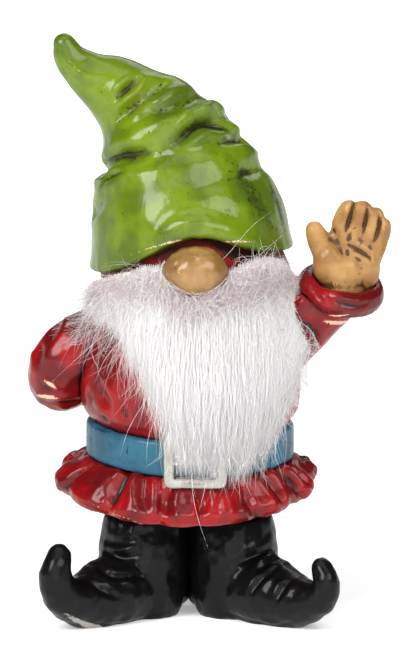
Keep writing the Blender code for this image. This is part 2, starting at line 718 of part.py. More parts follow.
for old in list(bpy.data.objects):
    bpy.data.objects.remove(old)
collections = {}
for label in ("gnome", "cutters"):
    collections[label] = bpy.data.collections.new(label)
    bpy.context.scene.collection.children.link(collections[label])

torso = make_torso()
torso_seat = grown(torso)
parts = build_trunk(torso)
parts.update(build_head(torso))
for side, *arm in (
    ("left", LEFT_ARM, LEFT_CUFF, make_left_hand(), LEFT_PIN, LEFT_SHOULDER_PEG),
    ("right", RIGHT_ARM, RIGHT_CUFF, make_right_hand(), RIGHT_PIN, RIGHT_SHOULDER_PEG),
):
    parts.update(build_arm(side, *arm, torso, torso_seat))
parts["belt_buckle"] = make_buckle((torso_seat, grown(parts["tunic_frill"])))
parts["beard_backing"] = make_backing()
parts["beard_fur"] = make_beard()
for label, slot in MATERIALS.items():
    paint(parts[label], slot)
centre_on_origin(parts.values())
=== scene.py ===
"""The looks of a small cast and painted garden gnome with a faux-fur beard, around its CAD frame.

Lengths in the tables are millimetres. The gnome faces -Y, and its raised left hand is at +X.
"""

import json
import math
from collections import namedtuple

import bpy
import numpy as np
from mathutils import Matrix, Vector, noise
from mathutils.bvhtree import BVHTree

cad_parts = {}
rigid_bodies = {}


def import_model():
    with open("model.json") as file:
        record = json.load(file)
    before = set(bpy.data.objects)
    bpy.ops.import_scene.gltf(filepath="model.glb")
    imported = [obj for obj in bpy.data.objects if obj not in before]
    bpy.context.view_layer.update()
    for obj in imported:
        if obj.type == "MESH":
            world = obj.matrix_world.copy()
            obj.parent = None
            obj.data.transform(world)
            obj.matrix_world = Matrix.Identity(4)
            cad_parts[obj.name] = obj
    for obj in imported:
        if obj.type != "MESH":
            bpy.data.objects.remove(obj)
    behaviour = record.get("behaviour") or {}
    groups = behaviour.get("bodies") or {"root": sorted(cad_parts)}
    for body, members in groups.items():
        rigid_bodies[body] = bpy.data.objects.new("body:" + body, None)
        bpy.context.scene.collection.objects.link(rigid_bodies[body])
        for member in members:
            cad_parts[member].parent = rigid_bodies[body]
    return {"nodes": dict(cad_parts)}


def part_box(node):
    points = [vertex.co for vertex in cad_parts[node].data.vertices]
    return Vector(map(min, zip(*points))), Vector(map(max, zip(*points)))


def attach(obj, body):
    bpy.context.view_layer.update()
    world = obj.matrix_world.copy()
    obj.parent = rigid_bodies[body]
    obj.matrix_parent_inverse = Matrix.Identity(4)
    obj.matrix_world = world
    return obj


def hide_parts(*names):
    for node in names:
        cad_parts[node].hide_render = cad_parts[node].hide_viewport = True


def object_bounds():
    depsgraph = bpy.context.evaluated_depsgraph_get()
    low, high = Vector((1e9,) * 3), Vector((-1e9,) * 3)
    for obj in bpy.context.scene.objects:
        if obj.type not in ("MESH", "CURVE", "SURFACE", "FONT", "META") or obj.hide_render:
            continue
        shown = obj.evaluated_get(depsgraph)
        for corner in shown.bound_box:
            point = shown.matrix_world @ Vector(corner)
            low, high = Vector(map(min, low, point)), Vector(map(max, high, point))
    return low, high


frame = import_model()
CAD_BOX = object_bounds()

MM = 0.001

# The figure's own axis, from which the tables measure, stands behind and beside the nose's tip.
NOSE_LOW, NOSE_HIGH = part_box("nose")
NOSE_SIDE = 1.2
NOSE_REACH = 26.1
AXIS = Vector((
    (NOSE_LOW.x + NOSE_HIGH.x) / 2 - NOSE_SIDE * MM,
    NOSE_LOW.y + NOSE_REACH * MM,
    0.0,
))

# The viewing direction, and the upward direction across it.
ELEVATION = math.radians(10)
AHEAD = Vector((0, math.cos(ELEVATION), -math.sin(ELEVATION)))
UPWARD = Vector((0, math.sin(ELEVATION), math.cos(ELEVATION)))
AIM = (2.47, 58.4)
VIEW_HEIGHT = 135.75
VIEW_PLANE = 10
LENS = 500
SENSOR = 36

# Fine copies: the distance within which a node's points are merged, and the pull per round.
WELD = 1e-6
SOFTENING = 0.5
# How far apart, in mm or degrees, the points along a carved line are.
CARVE_STEP = 0.3


# ---------------------------------------------------------------- materials


def linear(red, green, blue):
    """A colour given in sRGB from 0 to 255, as the linear values that shaders take."""
    values = []
    for share in (red / 255, green / 255, blue / 255):
        values.append(share / 12.92 if share <= 0.04045 else ((share + 0.055) / 1.055) ** 2.4)
    return (*values, 1.0)


def node(tree, kind, inputs, **settings):
    """A shader node. An input's value is a socket to link from, or a number or colour to set."""
    made = tree.nodes.new("ShaderNode" + kind)
    for key, value in settings.items():
        setattr(made, key, value)
    for key, value in inputs.items():
        if isinstance(value, bpy.types.NodeSocket):
            tree.links.new(value, made.inputs[key])
        else:
            made.inputs[key].default_value = value
    return made


def new_material(name):
    """A material with only a Principled shader, with its tree, shader and object coordinates."""
    made = bpy.data.materials.new(name)
    made.use_nodes = True
    tree = made.node_tree
    place = node(tree, "TexCoord", {}).outputs["Object"]
    return made, tree, tree.nodes["Principled BSDF"], place


def grain(tree, place, size, detail=2.0, roughness=0.5, offset=0.0):
    """Noise from 0 to 1, whose blobs are about size mm across."""
    moved = node(tree, "VectorMath", {0: place, 1: (offset, offset, offset)}, operation="ADD")
    found = node(tree, "TexNoise", {
        "Vector": moved.outputs[0],
        "Scale": 1 / (size * MM),
        "Detail": detail,
        "Roughness": roughness,
    })
    return found.outputs["Fac"]


def maths(tree, operation, first, second=0.0, third=0.0):
    return node(tree, "Math", {0: first, 1: second, 2: third}, operation=operation).outputs[0]


def ramp(tree, value, low, high, start=0.0, end=1.0):
    """A smooth step from start to end as value goes from low to high."""
    found = node(tree, "MapRange", {
        "Value": value,
        "From Min": low,
        "From Max": high,
        "To Min": start,
        "To Max": end,
    }, interpolation_type="SMOOTHSTEP")
    return found.outputs["Result"]


def blended(tree, share, below, above):
    made = node(tree, "Mix", {0: share, 6: below, 7: above}, data_type="RGBA")
    return made.outputs[2]


def mark(tree, name):
    """A mask that the sculpting leaves on the mesh: dark wash in the hollows with painted shade
    where lines mark it, or bare on the edges.
    """
    return node(tree, "Attribute", {}, attribute_name=name).outputs["Fac"]


def scatter(tree, value, noise_value, spread):
    """A mask broken up by noise."""
    return maths(tree, "MULTIPLY_ADD", maths(tree, "SUBTRACT", noise_value, 0.5), spread, value)


RESIN = linear(222, 178, 148)
# Dark wash for hollows and joints. Where a line marks shade (under the brim, in the right sleeve's
# opening, beside the beard) the same colour is painted shade.
DARK_WASH_AND_SHADE = linear(24, 15, 8)
SKIN_WASH = linear(62, 38, 18)
# Sizes of the paint's unevenness, in mm.
PATCHES, CLOUDS, GRIT = 7.0, 1.6, 0.45
SPECKS, FLECKS, STROKES, DABS = 0.55, 0.8, 0.6, 3.4
BRUSHED = {"Rotation": (0, 0.6, 0), "Scale": (1.0, 1.0, 0.2)}
PAINT_RELIEF = 0.12
LACQUER_ROUGHNESS = 0.11


def paint(name, full, deep, wash=DARK_WASH_AND_SHADE, bare=RESIN, gloss=0.4, coat=0.5, metal=0.0,
          specular=0.12):
    """Brushed enamel on cast resin: uneven colour, dark wash in hollows and painted shade where
    lines mark it, bare resin on edges.
    """
    made, tree, shader, place = new_material(name)
    broad = grain(tree, place, PATCHES, offset=1.7)
    middle = grain(tree, place, CLOUDS, 3.0, 0.6, offset=5.1)
    fine = grain(tree, place, GRIT, 3.0, 0.6, offset=9.3)
    colour = blended(tree, ramp(tree, broad, 0.36, 0.64), deep, full)
    streak = ramp(tree, middle, 0.3, 0.75, 0.0, 0.22)
    colour = blended(tree, streak, colour, deep)
    speck = ramp(tree, grain(tree, place, SPECKS, offset=13.0), 0.69, 0.74, 0.0, 0.8)
    colour = blended(tree, speck, colour, wash)
    wash_and_shade_cover = ramp(tree, scatter(tree, mark(tree, "stain"), middle, 0.7), 0.34, 0.9, 0.0, 0.94)
    small = grain(tree, place, FLECKS, 2.0, 0.6, offset=25.0)
    flecks = ramp(tree, scatter(tree, mark(tree, "stain"), small, 3.4), 0.68, 0.95, 0.0, 0.85)
    wash_and_shade_cover = maths(tree, "MAXIMUM", wash_and_shade_cover, flecks)
    colour = blended(tree, wash_and_shade_cover, colour, wash)
    worn = ramp(tree, scatter(tree, mark(tree, "bare"), fine, 0.9), 0.42, 0.62)
    colour = blended(tree, worn, colour, bare)
    tree.links.new(colour, shader.inputs["Base Color"])
    rough = maths(tree, "MULTIPLY_ADD", middle, 0.16, gloss - 0.08)
    rough = maths(tree, "MULTIPLY_ADD", wash_and_shade_cover, 0.22, rough)
    rough = maths(tree, "MULTIPLY_ADD", worn, 0.3, rough)
    tree.links.new(rough, shader.inputs["Roughness"])
    brushed = node(tree, "Mapping", {"Vector": place, **BRUSHED}).outputs[0]
    strokes = grain(tree, brushed, STROKES, 2.0, 0.6, offset=17.0)
    dabs = grain(tree, place, DABS, 1.0, offset=21.0)
    relief = maths(tree, "MULTIPLY_ADD", fine, 0.35, middle)
    relief = maths(tree, "MULTIPLY_ADD", strokes, 0.8, relief)
    relief = maths(tree, "MULTIPLY_ADD", dabs, 3.2, relief)
    bump = node(tree, "Bump", {"Height": relief, "Strength": 0.3, "Distance": PAINT_RELIEF * MM})
    tree.links.new(bump.outputs["Normal"], shader.inputs["Normal"])
    tree.links.new(bump.outputs["Normal"], shader.inputs["Coat Normal"])
    shader.inputs["Coat Weight"].default_value = coat
    shader.inputs["Coat Roughness"].default_value = LACQUER_ROUGHNESS
    shader.inputs["Specular IOR Level"].default_value = specular
    shader.inputs["Metallic"].default_value = metal
    return made


def steel_wire():
    made, tree, shader, place = new_material("bright_steel_wire")
    drawn = node(tree, "Mapping", {"Vector": place, "Scale": (1.0, 1.0, 0.08)})
    lines = grain(tree, drawn.outputs[0], 0.12, 2.0)
    tree.links.new(blended(tree, lines, linear(150, 150, 152), linear(205, 205, 207)),
                   shader.inputs["Base Color"])
    tree.links.new(ramp(tree, lines, 0.2, 0.8, 0.2, 0.4), shader.inputs["Roughness"])
    shader.inputs["Metallic"].default_value = 1.0
    return made


THREAD_PITCH = 0.7


def woven_backing():
    """Plain weave in dark red-brown thread, darkened further as painted shade: the shadow behind
    the beard.
    """
    made, tree, shader, place = new_material("woven_backing")
    threads = []
    for direction in ("X", "Z"):
        scale = 1 / (2 * THREAD_PITCH * MM * math.pi)
        wave = node(tree, "TexWave", {"Vector": place, "Scale": scale},
                    wave_type="BANDS", bands_direction=direction)
        threads.append(wave.outputs["Fac"])
    weave = maths(tree, "MAXIMUM", threads[0], threads[1])
    uneven = grain(tree, place, 2.5)
    colour = blended(tree, weave, linear(44, 18, 16), linear(76, 30, 26))
    colour = blended(tree, ramp(tree, uneven, 0.4, 0.7, 0.0, 0.3), colour, linear(34, 20, 16))
    tree.links.new(colour, shader.inputs["Base Color"])
    bump = node(tree, "Bump", {"Height": weave, "Strength": 0.6, "Distance": 0.2 * MM})
    tree.links.new(bump.outputs["Normal"], shader.inputs["Normal"])
    shader.inputs["Roughness"].default_value = 0.85
    return made


# How far light travels in the pile, in mm.
FIBRE_DEPTH = 0.12


def fibre(name, colour, roughness):
    """One lot of the pile: a dye lot, except the shade tint, whose darker pinkish grey is painted
    shade and painted reflection. Its texture is the strands themselves.
    """
    made = bpy.data.materials.new(name)
    made.use_nodes = True
    shader = made.node_tree.nodes["Principled BSDF"]
    shader.inputs["Base Color"].default_value = colour
    shader.inputs["Roughness"].default_value = roughness
    shader.inputs["Specular IOR Level"].default_value = 0.2
    shader.inputs["Subsurface Weight"].default_value = 1.0
    shader.inputs["Subsurface Radius"].default_value = (1.0, 0.97, 0.98)
    shader.inputs["Subsurface Scale"].default_value = FIBRE_DEPTH * MM
    return made


# ---------------------------------------------------------------- sculpting


def coordinates(mesh):
    """The points of a mesh, in metres."""
    values = np.empty(len(mesh.vertices) * 3, np.float32)
    mesh.vertices.foreach_get("co", values)
    return values.reshape(-1, 3).astype(float)


def outward(mesh):
    """The outward direction at each point of a mesh."""
    values = np.empty(len(mesh.vertices) * 3, np.float32)
    mesh.vertex_normals.foreach_get("vector", values)
    return values.reshape(-1, 3).astype(float)


def fine_copy(name, source, voxel, rounds):
    """A closed mesh of even small faces over a CAD node, with its facets smoothed away."""
    mesh = frame["nodes"][source].data.copy()
    mesh.materials.clear()
    piece = bpy.data.objects.new(name, mesh)
    bpy.context.scene.collection.objects.link(piece)
    piece.modifiers.new("Weld", "WELD").merge_threshold = WELD
    remesh = piece.modifiers.new("Remesh", "REMESH")
    remesh.mode = "VOXEL"
    remesh.voxel_size = voxel * MM
    smooth = piece.modifiers.new("Smooth", "SMOOTH")
    smooth.factor = SOFTENING
    smooth.iterations = rounds
    bpy.context.view_layer.update()
    graph = bpy.context.evaluated_depsgraph_get()
    piece.data = bpy.data.meshes.new_from_object(piece.evaluated_get(graph))
    piece.modifiers.clear()
    piece.data.name = name
    return piece


def tree_of(objects):
    """One search tree over the meshes of several objects."""
    points = []
    faces = []
    for obj in objects:
        start = len(points)
        points.extend(vertex.co for vertex in obj.data.vertices)
        faces.extend([start + i for i in face.vertices] for face in obj.data.polygons)
    return BVHTree.FromPolygons(points, faces)


def edges_of(mesh):
    ends = np.empty(len(mesh.edges) * 2, np.int32)
    mesh.edges.foreach_get("vertices", ends)
    return ends.reshape(-1, 2)


def relaxed(values, ends, rounds):
    """Each point moved to the middle of its neighbours, rounds times over."""
    count = len(values)
    both = np.concatenate([ends[:, 0], ends[:, 1]])
    other = np.concatenate([ends[:, 1], ends[:, 0]])
    degree = np.maximum(np.bincount(both, minlength=count), 1)
    for _ in range(rounds):
        columns = [np.bincount(both, values[other, i], count) / degree for i in range(3)]
        values = np.stack(columns, axis=1)
    return values


# Shifts well under this many mm count as facets, and larger ones as folds.
FACET_SHIFT = 0.3


def melted(co, ends, rounds):
    """Facets smoothed away, while edges and folds stay: only small shifts are made."""
    shift = relaxed(co, ends, rounds) - co
    size = np.linalg.norm(shift, axis=1, keepdims=True) / MM
    share = relaxed(np.exp(-((size / FACET_SHIFT) ** 2)).repeat(3, axis=1), ends, 6)
    return co + shift * share


def through(points, spacing):
    """Points about spacing apart along a smooth curve through the given ones."""
    points = np.array(points, float)
    ends = (2 * points[0] - points[1], 2 * points[-1] - points[-2])
    padded = np.vstack([ends[0], points, ends[1]])
    found = []
    for a, b, c, d in zip(padded, padded[1:], padded[2:], padded[3:]):
        steps = max(1, int(np.linalg.norm(c - b) / spacing))
        t = (np.arange(steps) / steps)[:, None]
        found.append(0.5 * (2 * b + (c - a) * t + (2 * a - 5 * b + 4 * c - d) * t**2
                            + (3 * b - a - 3 * c + d) * t**3))
    return np.vstack([*found, points[-1:]])


def from_front(across, height):
    """A ray along the viewing direction at that place in the view, measured from the axis."""
    start = AXIS + (Vector((across, 0, 0)) + UPWARD * height) * MM
    return start - AHEAD * 0.2, AHEAD


def from_around(degrees, height):
    """A level ray towards the axis. The angle counts from the front towards the left hand."""
    turn = math.radians(degrees)
    out = Vector((math.sin(turn), -math.cos(turn), 0))
    return AXIS + out * 0.1 + Vector((0, 0, height * MM)), -out


Line = namedtuple("Line", "relief width stain points")


def carve(co, tree, lines, ray):
    """Works grooves and ridges into a surface. Returns how far each point moves along its normal,
    how much dark colour lies there, as wash and on some lines as painted shade, and how bare it
    is.
    A line's relief is negative for a groove; its darkening is negative where paint is worn off."""
    push, stain, bare = np.zeros((3, len(co)))
    for line in lines:
        trail = through(line.points, CARVE_STEP)
        share = np.linspace(0, 1, len(trail))
        fade = np.sin(np.pi * np.clip(share, 0.02, 0.98)) ** 0.6
        hits = [tree.ray_cast(*ray(*point))[0] for point in trail]
        kept = [i for i, hit in enumerate(hits) if hit is not None]
        if not kept:
            continue
        spots = np.array([hits[i] for i in kept])
        fade = fade[kept]
        width = line.width * MM
        reach = 3 * width
        inside = (co > spots.min(0) - reach) & (co < spots.max(0) + reach)
        near = np.flatnonzero(inside.all(1))
        gap = np.linalg.norm(co[near, None] - spots[None], axis=2)
        closest = gap.argmin(1)
        strength = fade[closest]
        distance = gap[np.arange(len(near)), closest] / width / (0.45 + 0.55 * strength)
        lip = 0.45 * np.exp(-(((distance - 2.0) / 0.9) ** 2))
        push[near] += line.relief * MM * strength * (np.exp(-(distance**2)) - lip)
        cover = abs(line.stain) * strength * np.exp(-((distance / 0.6) ** 2))
        layer = stain if line.stain > 0 else bare
        layer[near] = np.maximum(layer[near], cover)
    return push, stain, bare


def nearness(co, neighbours, reach):
    """From 1 at a neighbouring piece's surface to 0 at reach mm from it."""
    found = np.zeros(len(co))
    for name in neighbours:
        low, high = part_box(name)
        margin = reach * MM
        near = ((co > np.array(low) - margin) & (co < np.array(high) + margin)).all(1)
        tree = tree_of([frame["nodes"][name]])
        for i in np.flatnonzero(near):
            distance = tree.find_nearest(Vector(co[i]), margin)[3]
            if distance is not None:
                found[i] = max(found[i], 1 - distance / margin)
    return found


def lumps(co, size, height, seed):
    """Soft unevenness of a hand-made model, in metres."""
    shift = Vector((seed * 3.1, seed * 7.7, seed * 1.3))
    scale = 1 / (size * MM)
    values = [noise.fractal(Vector(p) * scale + shift, 1.3, 2.2, 3) for p in co]
    return np.array(values) * height * MM


def set_mark(mesh, name, values):
    layer = mesh.attributes.new(name, "FLOAT", "POINT")
    layer.data.foreach_set("value", np.clip(values, 0, 1).astype(np.float32))


def cast(source, material, voxel=0.35, rounds=10, melt=0, lines=(), around=(),
         uneven=0.1, lump=4.0, seam=(), seam_reach=1.3, seam_stain=0.9, crevice=0.6,
         wear=0.2, swell=0.12, blur=2, seed=1):
    """A painted casting over a CAD node: a fine copy, carved, and marked for wash and wear.

    Lengths are in mm. seam names the neighbours along which wash gathers. seam_stain, crevice and
    wear are shares. rounds, melt and blur smooth the copy, its facets and the carving."""
    piece = fine_copy("cast_" + source, source, voxel, rounds)
    mesh = piece.data
    ends = edges_of(mesh)
    mesh.vertices.foreach_set("co", melted(coordinates(mesh), ends, melt).ravel())
    mesh.update()
    co, normal = coordinates(mesh), outward(mesh)
    tree = tree_of([piece])
    push, stain, bare = carve(co, tree, lines, from_front)
    more, more_stain, more_bare = carve(co, tree, around, from_around)
    push = relaxed((push + more)[:, None].repeat(3, axis=1), ends, blur)[:, 0]
    push += swell * MM + lumps(co, lump, uneven, seed)
    co += normal * push[:, None]
    co = relaxed(co, ends, 1)
    hollow = ((relaxed(co, ends, 12) - co) * normal).sum(1) / MM
    stain = np.maximum(stain, more_stain) + crevice * np.clip(hollow / 0.1, 0, 1)
    stain = np.maximum(stain, seam_stain * nearness(co, seam, seam_reach))
    bare = np.maximum(bare, more_bare) + wear * np.clip((-hollow - 0.05) / 0.12, 0, 1)
    mesh.vertices.foreach_set("co", co.astype(np.float32).ravel())
    set_mark(mesh, "stain", stain)
    set_mark(mesh, "bare", bare * (1 - np.clip(stain, 0, 1) * 0.7))
    mesh.shade_smooth()
    mesh.update()
    mesh.materials.append(material)
    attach(piece, "root")
    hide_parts(source)
    return piece


# ---------------------------------------------------------------- the castings

HAT_LINES = [
    # the fold that hooks under the knot, and the folds left of it
    Line(-2.0, 1.3, 0.55, [(8.8, 98.6), (5.7, 100.2), (3.1, 100.7), (1.0, 99.9), (-3.1, 96.3)]),
    Line(-1.5, 1.3, 0.5, [(-18.5, 92.4), (-15.2, 93.4), (-12.0, 94.0), (-8.2, 94.8)]),
    Line(-0.9, 1.1, 0.3, [(-20.1, 88.3), (-17.0, 89.6), (-13.4, 90.6)]),
    Line(-1.6, 0.8, 0.5, [(-15.2, 105.4), (-12.9, 107.6), (-10.4, 109.9)]),
    Line(-1.3, 1.0, 0.12, [(-15.4, 101.1), (-12.5, 103.3), (-9.2, 106.0)]),
    Line(-1.0, 1.6, 0.0, [(-9.6, 105.6), (-7.0, 107.2), (-3.8, 109.2)]),
    Line(-1.0, 1.7, 0.0, [(-8.8, 102.7), (-4.7, 103.7), (-0.7, 105.3), (2.6, 107.0)]),
    Line(1.6, 1.5, 0.0, [(1.6, 102.2), (4.0, 103.9), (6.8, 103.6)]),
    Line(1.4, 1.8, 0.0, [(8.2, 99.8), (11.2, 99.2), (13.0, 97.4)]),
    Line(-1.3, 1.1, 0.4, [(6.2, 96.3), (9.5, 97.3), (13.1, 95.5)]),
    Line(1.1, 2.6, 0.0, [(-15.5, 97.2), (-10.0, 98.6), (-5.0, 100.0), (-2.0, 101.6)]),
    # broad dents and soft rolls
    Line(-0.5, 1.6, 0.1, [(9.8, 90.6), (13.9, 91.4)]),
    Line(-0.6, 1.4, 0.0, [(-20.9, 81.1), (-17.3, 84.5)]),
    Line(0.8, 2.0, 0.0, [(-6.7, 76.7), (-1.0, 79.7), (6.2, 78.7), (14.4, 75.7)]),
    Line(0.7, 1.4, 0.0, [(-25.0, 113.8), (-23.2, 111.5), (-20.6, 110.2), (-17.8, 110.2)]),
    # the mottled side
    Line(0.0, 6.5, 0.62, [(7.5, 95.0), (11.5, 87.5), (15.5, 81.5), (18.5, 76.0)]),
    Line(0.0, 3.5, 0.78, [(15.5, 91.0), (18.2, 83.0), (20.2, 75.5)]),
    # scratches
    Line(-0.1, 0.35, 0.6, [(-12.5, 84.8), (-11.2, 85.6), (-10.6, 86.6)]),
    Line(-0.1, 0.35, 0.6, [(-1.5, 88.5), (0.6, 88.0)]),
    Line(-0.1, 0.35, 0.6, [(7.0, 83.2), (8.6, 82.2)]),
    Line(-0.1, 0.35, 0.5, [(9.5, 86.8), (10.6, 85.8)]),
    # the brim's lower edge, where the paint is thin
    Line(0.0, 0.5, -0.72, [(-19.6, 71.6), (-12.9, 73.3), (-7.2, 75.3), (-1.0, 76.6), (6.2, 76.6),
                           (13.9, 76.1), (20.2, 76.0)]),
]
HAT_BACK_LINES = [
    Line(-0.8, 0.9, 0.7, [(110, 95), (135, 92), (160, 91), (185, 93)]),
    Line(-0.7, 0.8, 0.6, [(150, 101), (180, 98), (210, 99)]),
    Line(-0.6, 1.6, 0.15, [(120, 86), (150, 82), (175, 84)]),
    Line(-0.6, 0.9, 0.5, [(200, 88), (230, 86), (255, 89)]),
    Line(-0.5, 1.8, 0.1, [(205, 79), (235, 76), (260, 79)]),
]

FRILL_LINES = [
    Line(-0.7, 0.8, 0.35, [(-21.0, 34.9), (-24.7, 32.2), (-28.8, 29.3)]),
    Line(-1.3, 0.9, 0.8, [(-18.8, 31.6), (-22.7, 28.3), (-27.2, 24.8)]),
    Line(-1.3, 1.1, 0.6, [(-11.6, 31.2), (-14.3, 26.5), (-16.8, 21.0)]),
    Line(-0.8, 1.0, 0.2, [(-8.4, 29.6), (-9.5, 25.2), (-8.6, 19.6)]),
    Line(-0.8, 1.1, 0.1, [(-3.8, 26.2), (-4.9, 22.7), (-3.8, 18.8)]),
    Line(-0.9, 1.0, 0.25, [(2.8, 26.2), (2.6, 22.6), (2.2, 19.4)]),
    Line(-1.0, 1.0, 0.2, [(10.2, 27.8), (11.8, 23.2), (14.2, 19.4)]),
    Line(-1.1, 1.1, 0.3, [(13.8, 30.2), (17.8, 25.2), (19.6, 21.6)]),
    Line(-1.3, 1.0, 0.7, [(16.8, 30.8), (20.6, 26.8), (24.0, 23.0)]),
    Line(-1.0, 0.8, 0.65, [(18.8, 32.2), (22.4, 28.6), (26.2, 25.4)]),
    Line(-0.8, 0.7, 0.5, [(21.0, 33.8), (24.2, 30.6), (27.0, 28.0)]),
    Line(0.7, 1.2, 0.0, [(-16.4, 29.4), (-18.0, 26.6), (-20.4, 23.8)]),
    Line(0.7, 1.3, 0.0, [(-11.2, 28.6), (-11.9, 25.0), (-12.4, 21.4)]),
    Line(0.6, 1.4, 0.0, [(7.0, 26.0), (7.8, 22.8), (8.6, 20.0)]),
    Line(0.0, 0.3, -0.6, [(-25.8, 24.2), (-20.1, 22.7), (-10.8, 19.1), (-4.1, 17.9),
                          (3.1, 17.8), (10.3, 17.8), (16.5, 19.6)]),
]
FRILL_BACK_LINES = [
    Line(-0.7, 0.65, 0.8, [(degrees, 33.0), (degrees + lean, 29.0), (degrees + 1.6 * lean, 25.5)])
    for degrees, lean in ((96, 3), (118, -2), (139, 3), (160, 2), (181, -3), (203, 2), (224, -2),
                          (245, 3))
]

BOOT_LINES = {
    "right_boot": [
        Line(-0.6, 0.7, 0.5, [(-18.5, 15.4), (-14.9, 14.4), (-11.3, 14.9)]),
        Line(-0.8, 0.8, 0.6, [(-18.0, 12.9), (-13.4, 11.3), (-10.3, 12.4)]),
        Line(-0.8, 0.8, 0.6, [(-22.7, 10.3), (-19.6, 9.8), (-16.0, 7.7), (-9.8, 7.7)]),
        Line(-0.6, 0.7, 0.5, [(-21.6, 7.2), (-18.5, 5.1), (-14.9, 3.6)]),
        Line(-0.5, 0.6, 0.5, [(-16.0, 6.2), (-11.3, 5.1)]),
        Line(0.5, 0.8, 0.0, [(-19.0, 11.6), (-16.5, 10.6), (-13.5, 9.6)]),
        Line(-0.35, 0.5, 0.4, [(-26.8, 2.1), (-21.1, -1.1), (-16.0, -2.1), (-9.8, -1.0),
                               (-2.1, 1.3)]),
        Line(0.0, 2.0, -0.95, [(-26.4, 1.0), (-21.5, -1.9), (-16.0, -3.0), (-10.0, -2.0)]),
    ],
    "left_boot": [
        Line(-0.5, 0.7, 0.4, [(7.7, 9.5), (11.3, 11.2), (15.4, 12.4), (17.8, 12.9)]),
        Line(-0.8, 0.8, 0.6, [(13.4, 7.7), (16.0, 10.3), (20.6, 11.3)]),
        Line(-0.7, 0.7, 0.6, [(12.4, 4.1), (14.9, 7.2), (18.5, 9.8)]),
        Line(-0.6, 0.7, 0.5, [(17.8, 2.3), (19.1, 5.1), (21.6, 7.2)]),
        Line(0.5, 0.8, 0.0, [(13.2, 9.3), (16.0, 11.6), (18.5, 12.2)]),
        Line(-0.35, 0.5, 0.4, [(2.6, 2.1), (10.8, -0.8), (18.5, -2.1), (26.3, 2.1)]),
        Line(0.0, 1.0, -0.6, [(6.0, -0.6), (12.0, -2.0), (18.0, -3.0)]),
    ],
}
BOOT_BACK_LINES = [
    Line(-0.5, 0.8, 0.4, [(degrees - 14, height), (degrees, height - 1.2), (degrees + 12, height)])
    for degrees, height in ((150, 13), (146, 9.5), (205, 12.5), (212, 9))
]

BELT_LINES = [
    Line(-0.25, 0.35, 0.5, [(-21.9, 38.2), (-16.0, 36.7), (-10.8, 35.7), (-5.7, 34.9)]),
    Line(-0.25, 0.35, 0.5, [(-21.9, 33.9), (-16.0, 32.1), (-10.8, 30.7), (-5.7, 29.7)]),
    Line(-0.2, 0.3, 0.6, [(-17.0, 35.6), (-15.6, 34.2)]),
    Line(0.0, 1.2, 0.75, [(-24.0, 39.0), (-22.6, 37.0), (-22.8, 34.4)]),
    Line(0.0, 0.6, 0.85, [(-22.0, 38.8), (-18.5, 37.8), (-14.0, 36.6)]),
    Line(-0.1, 0.4, 0.5, [(-12.2, 35.6), (-12.8, 33.8), (-12.6, 31.8)]),
    Line(-0.15, 0.35, 0.7, [(-20.2, 36.8), (-20.0, 35.0)]),
    Line(0.0, 0.7, 0.7, [(18.0, 36.0), (20.4, 35.0), (22.0, 35.6)]),
]

HAND_LINES = [
    Line(-1.0, 0.5, 0.8, [(33.9, 85.1), (32.9, 81.7), (31.8, 78.3)]),
    Line(-0.8, 0.45, 0.65, [(36.6, 84.0), (36.0, 81.0), (35.6, 78.3)]),
    Line(-0.8, 0.45, 0.65, [(38.4, 83.2), (38.8, 80.0), (37.8, 76.2)]),
    Line(-0.8, 0.45, 0.6, [(32.0, 76.0), (34.3, 74.8), (36.4, 73.5), (37.6, 71.9)]),
    Line(-0.3, 0.8, 0.1, [(27.8, 77.6), (30.2, 75.5), (32.3, 72.8)]),
    Line(-0.35, 0.7, 0.15, [(27.6, 80.5), (29.5, 78.6), (30.9, 75.9)]),
    Line(0.0, 3.2, 0.3, [(29.0, 85.0), (31.5, 80.5), (33.5, 75.5), (36.0, 72.0)]),
    Line(0.0, 3.0, 0.36, [(37.5, 86.0), (39.5, 80.0), (38.5, 73.0)]),
    Line(0.0, 2.6, 0.55, [(22.5, 72.5), (25.0, 69.0), (29.0, 67.0), (34.0, 67.5)]),
    Line(-0.5, 0.4, 0.4, [(32.3, 75.5), (32.5, 73.1)]),
    Line(-0.3, 1.3, 0.6, [(22.8, 71.9), (24.7, 69.4), (27.3, 67.3), (32.6, 67.0), (37.3, 67.6)]),
]
LEFT_CUFF_LINES = [
    Line(-0.5, 0.5, 0.6, [(26.4, 67.0), (29.9, 64.2), (34.3, 63.3), (37.4, 64.5)]),
    Line(-0.3, 0.5, 0.2, [(24.0, 69.0), (26.5, 65.0), (29.5, 62.8)]),
    Line(0.0, 0.4, -0.9, [(24.7, 62.1), (29.2, 61.3), (34.3, 61.7)]),
]
LEFT_SLEEVE_LINES = [
    Line(0.0, 1.2, -0.9, [(26.5, 60.4), (30.0, 59.8), (34.0, 60.4)]),
    Line(-0.5, 0.7, 0.6, [(23.0, 60.5), (25.5, 57.5), (26.5, 54.0)]),
    # Painted shade on the sleeve along the beard's edge.
    Line(0.0, 3.0, 0.62, [(20.0, 63.0), (22.5, 58.5), (25.0, 53.0), (26.0, 50.0)]),
]

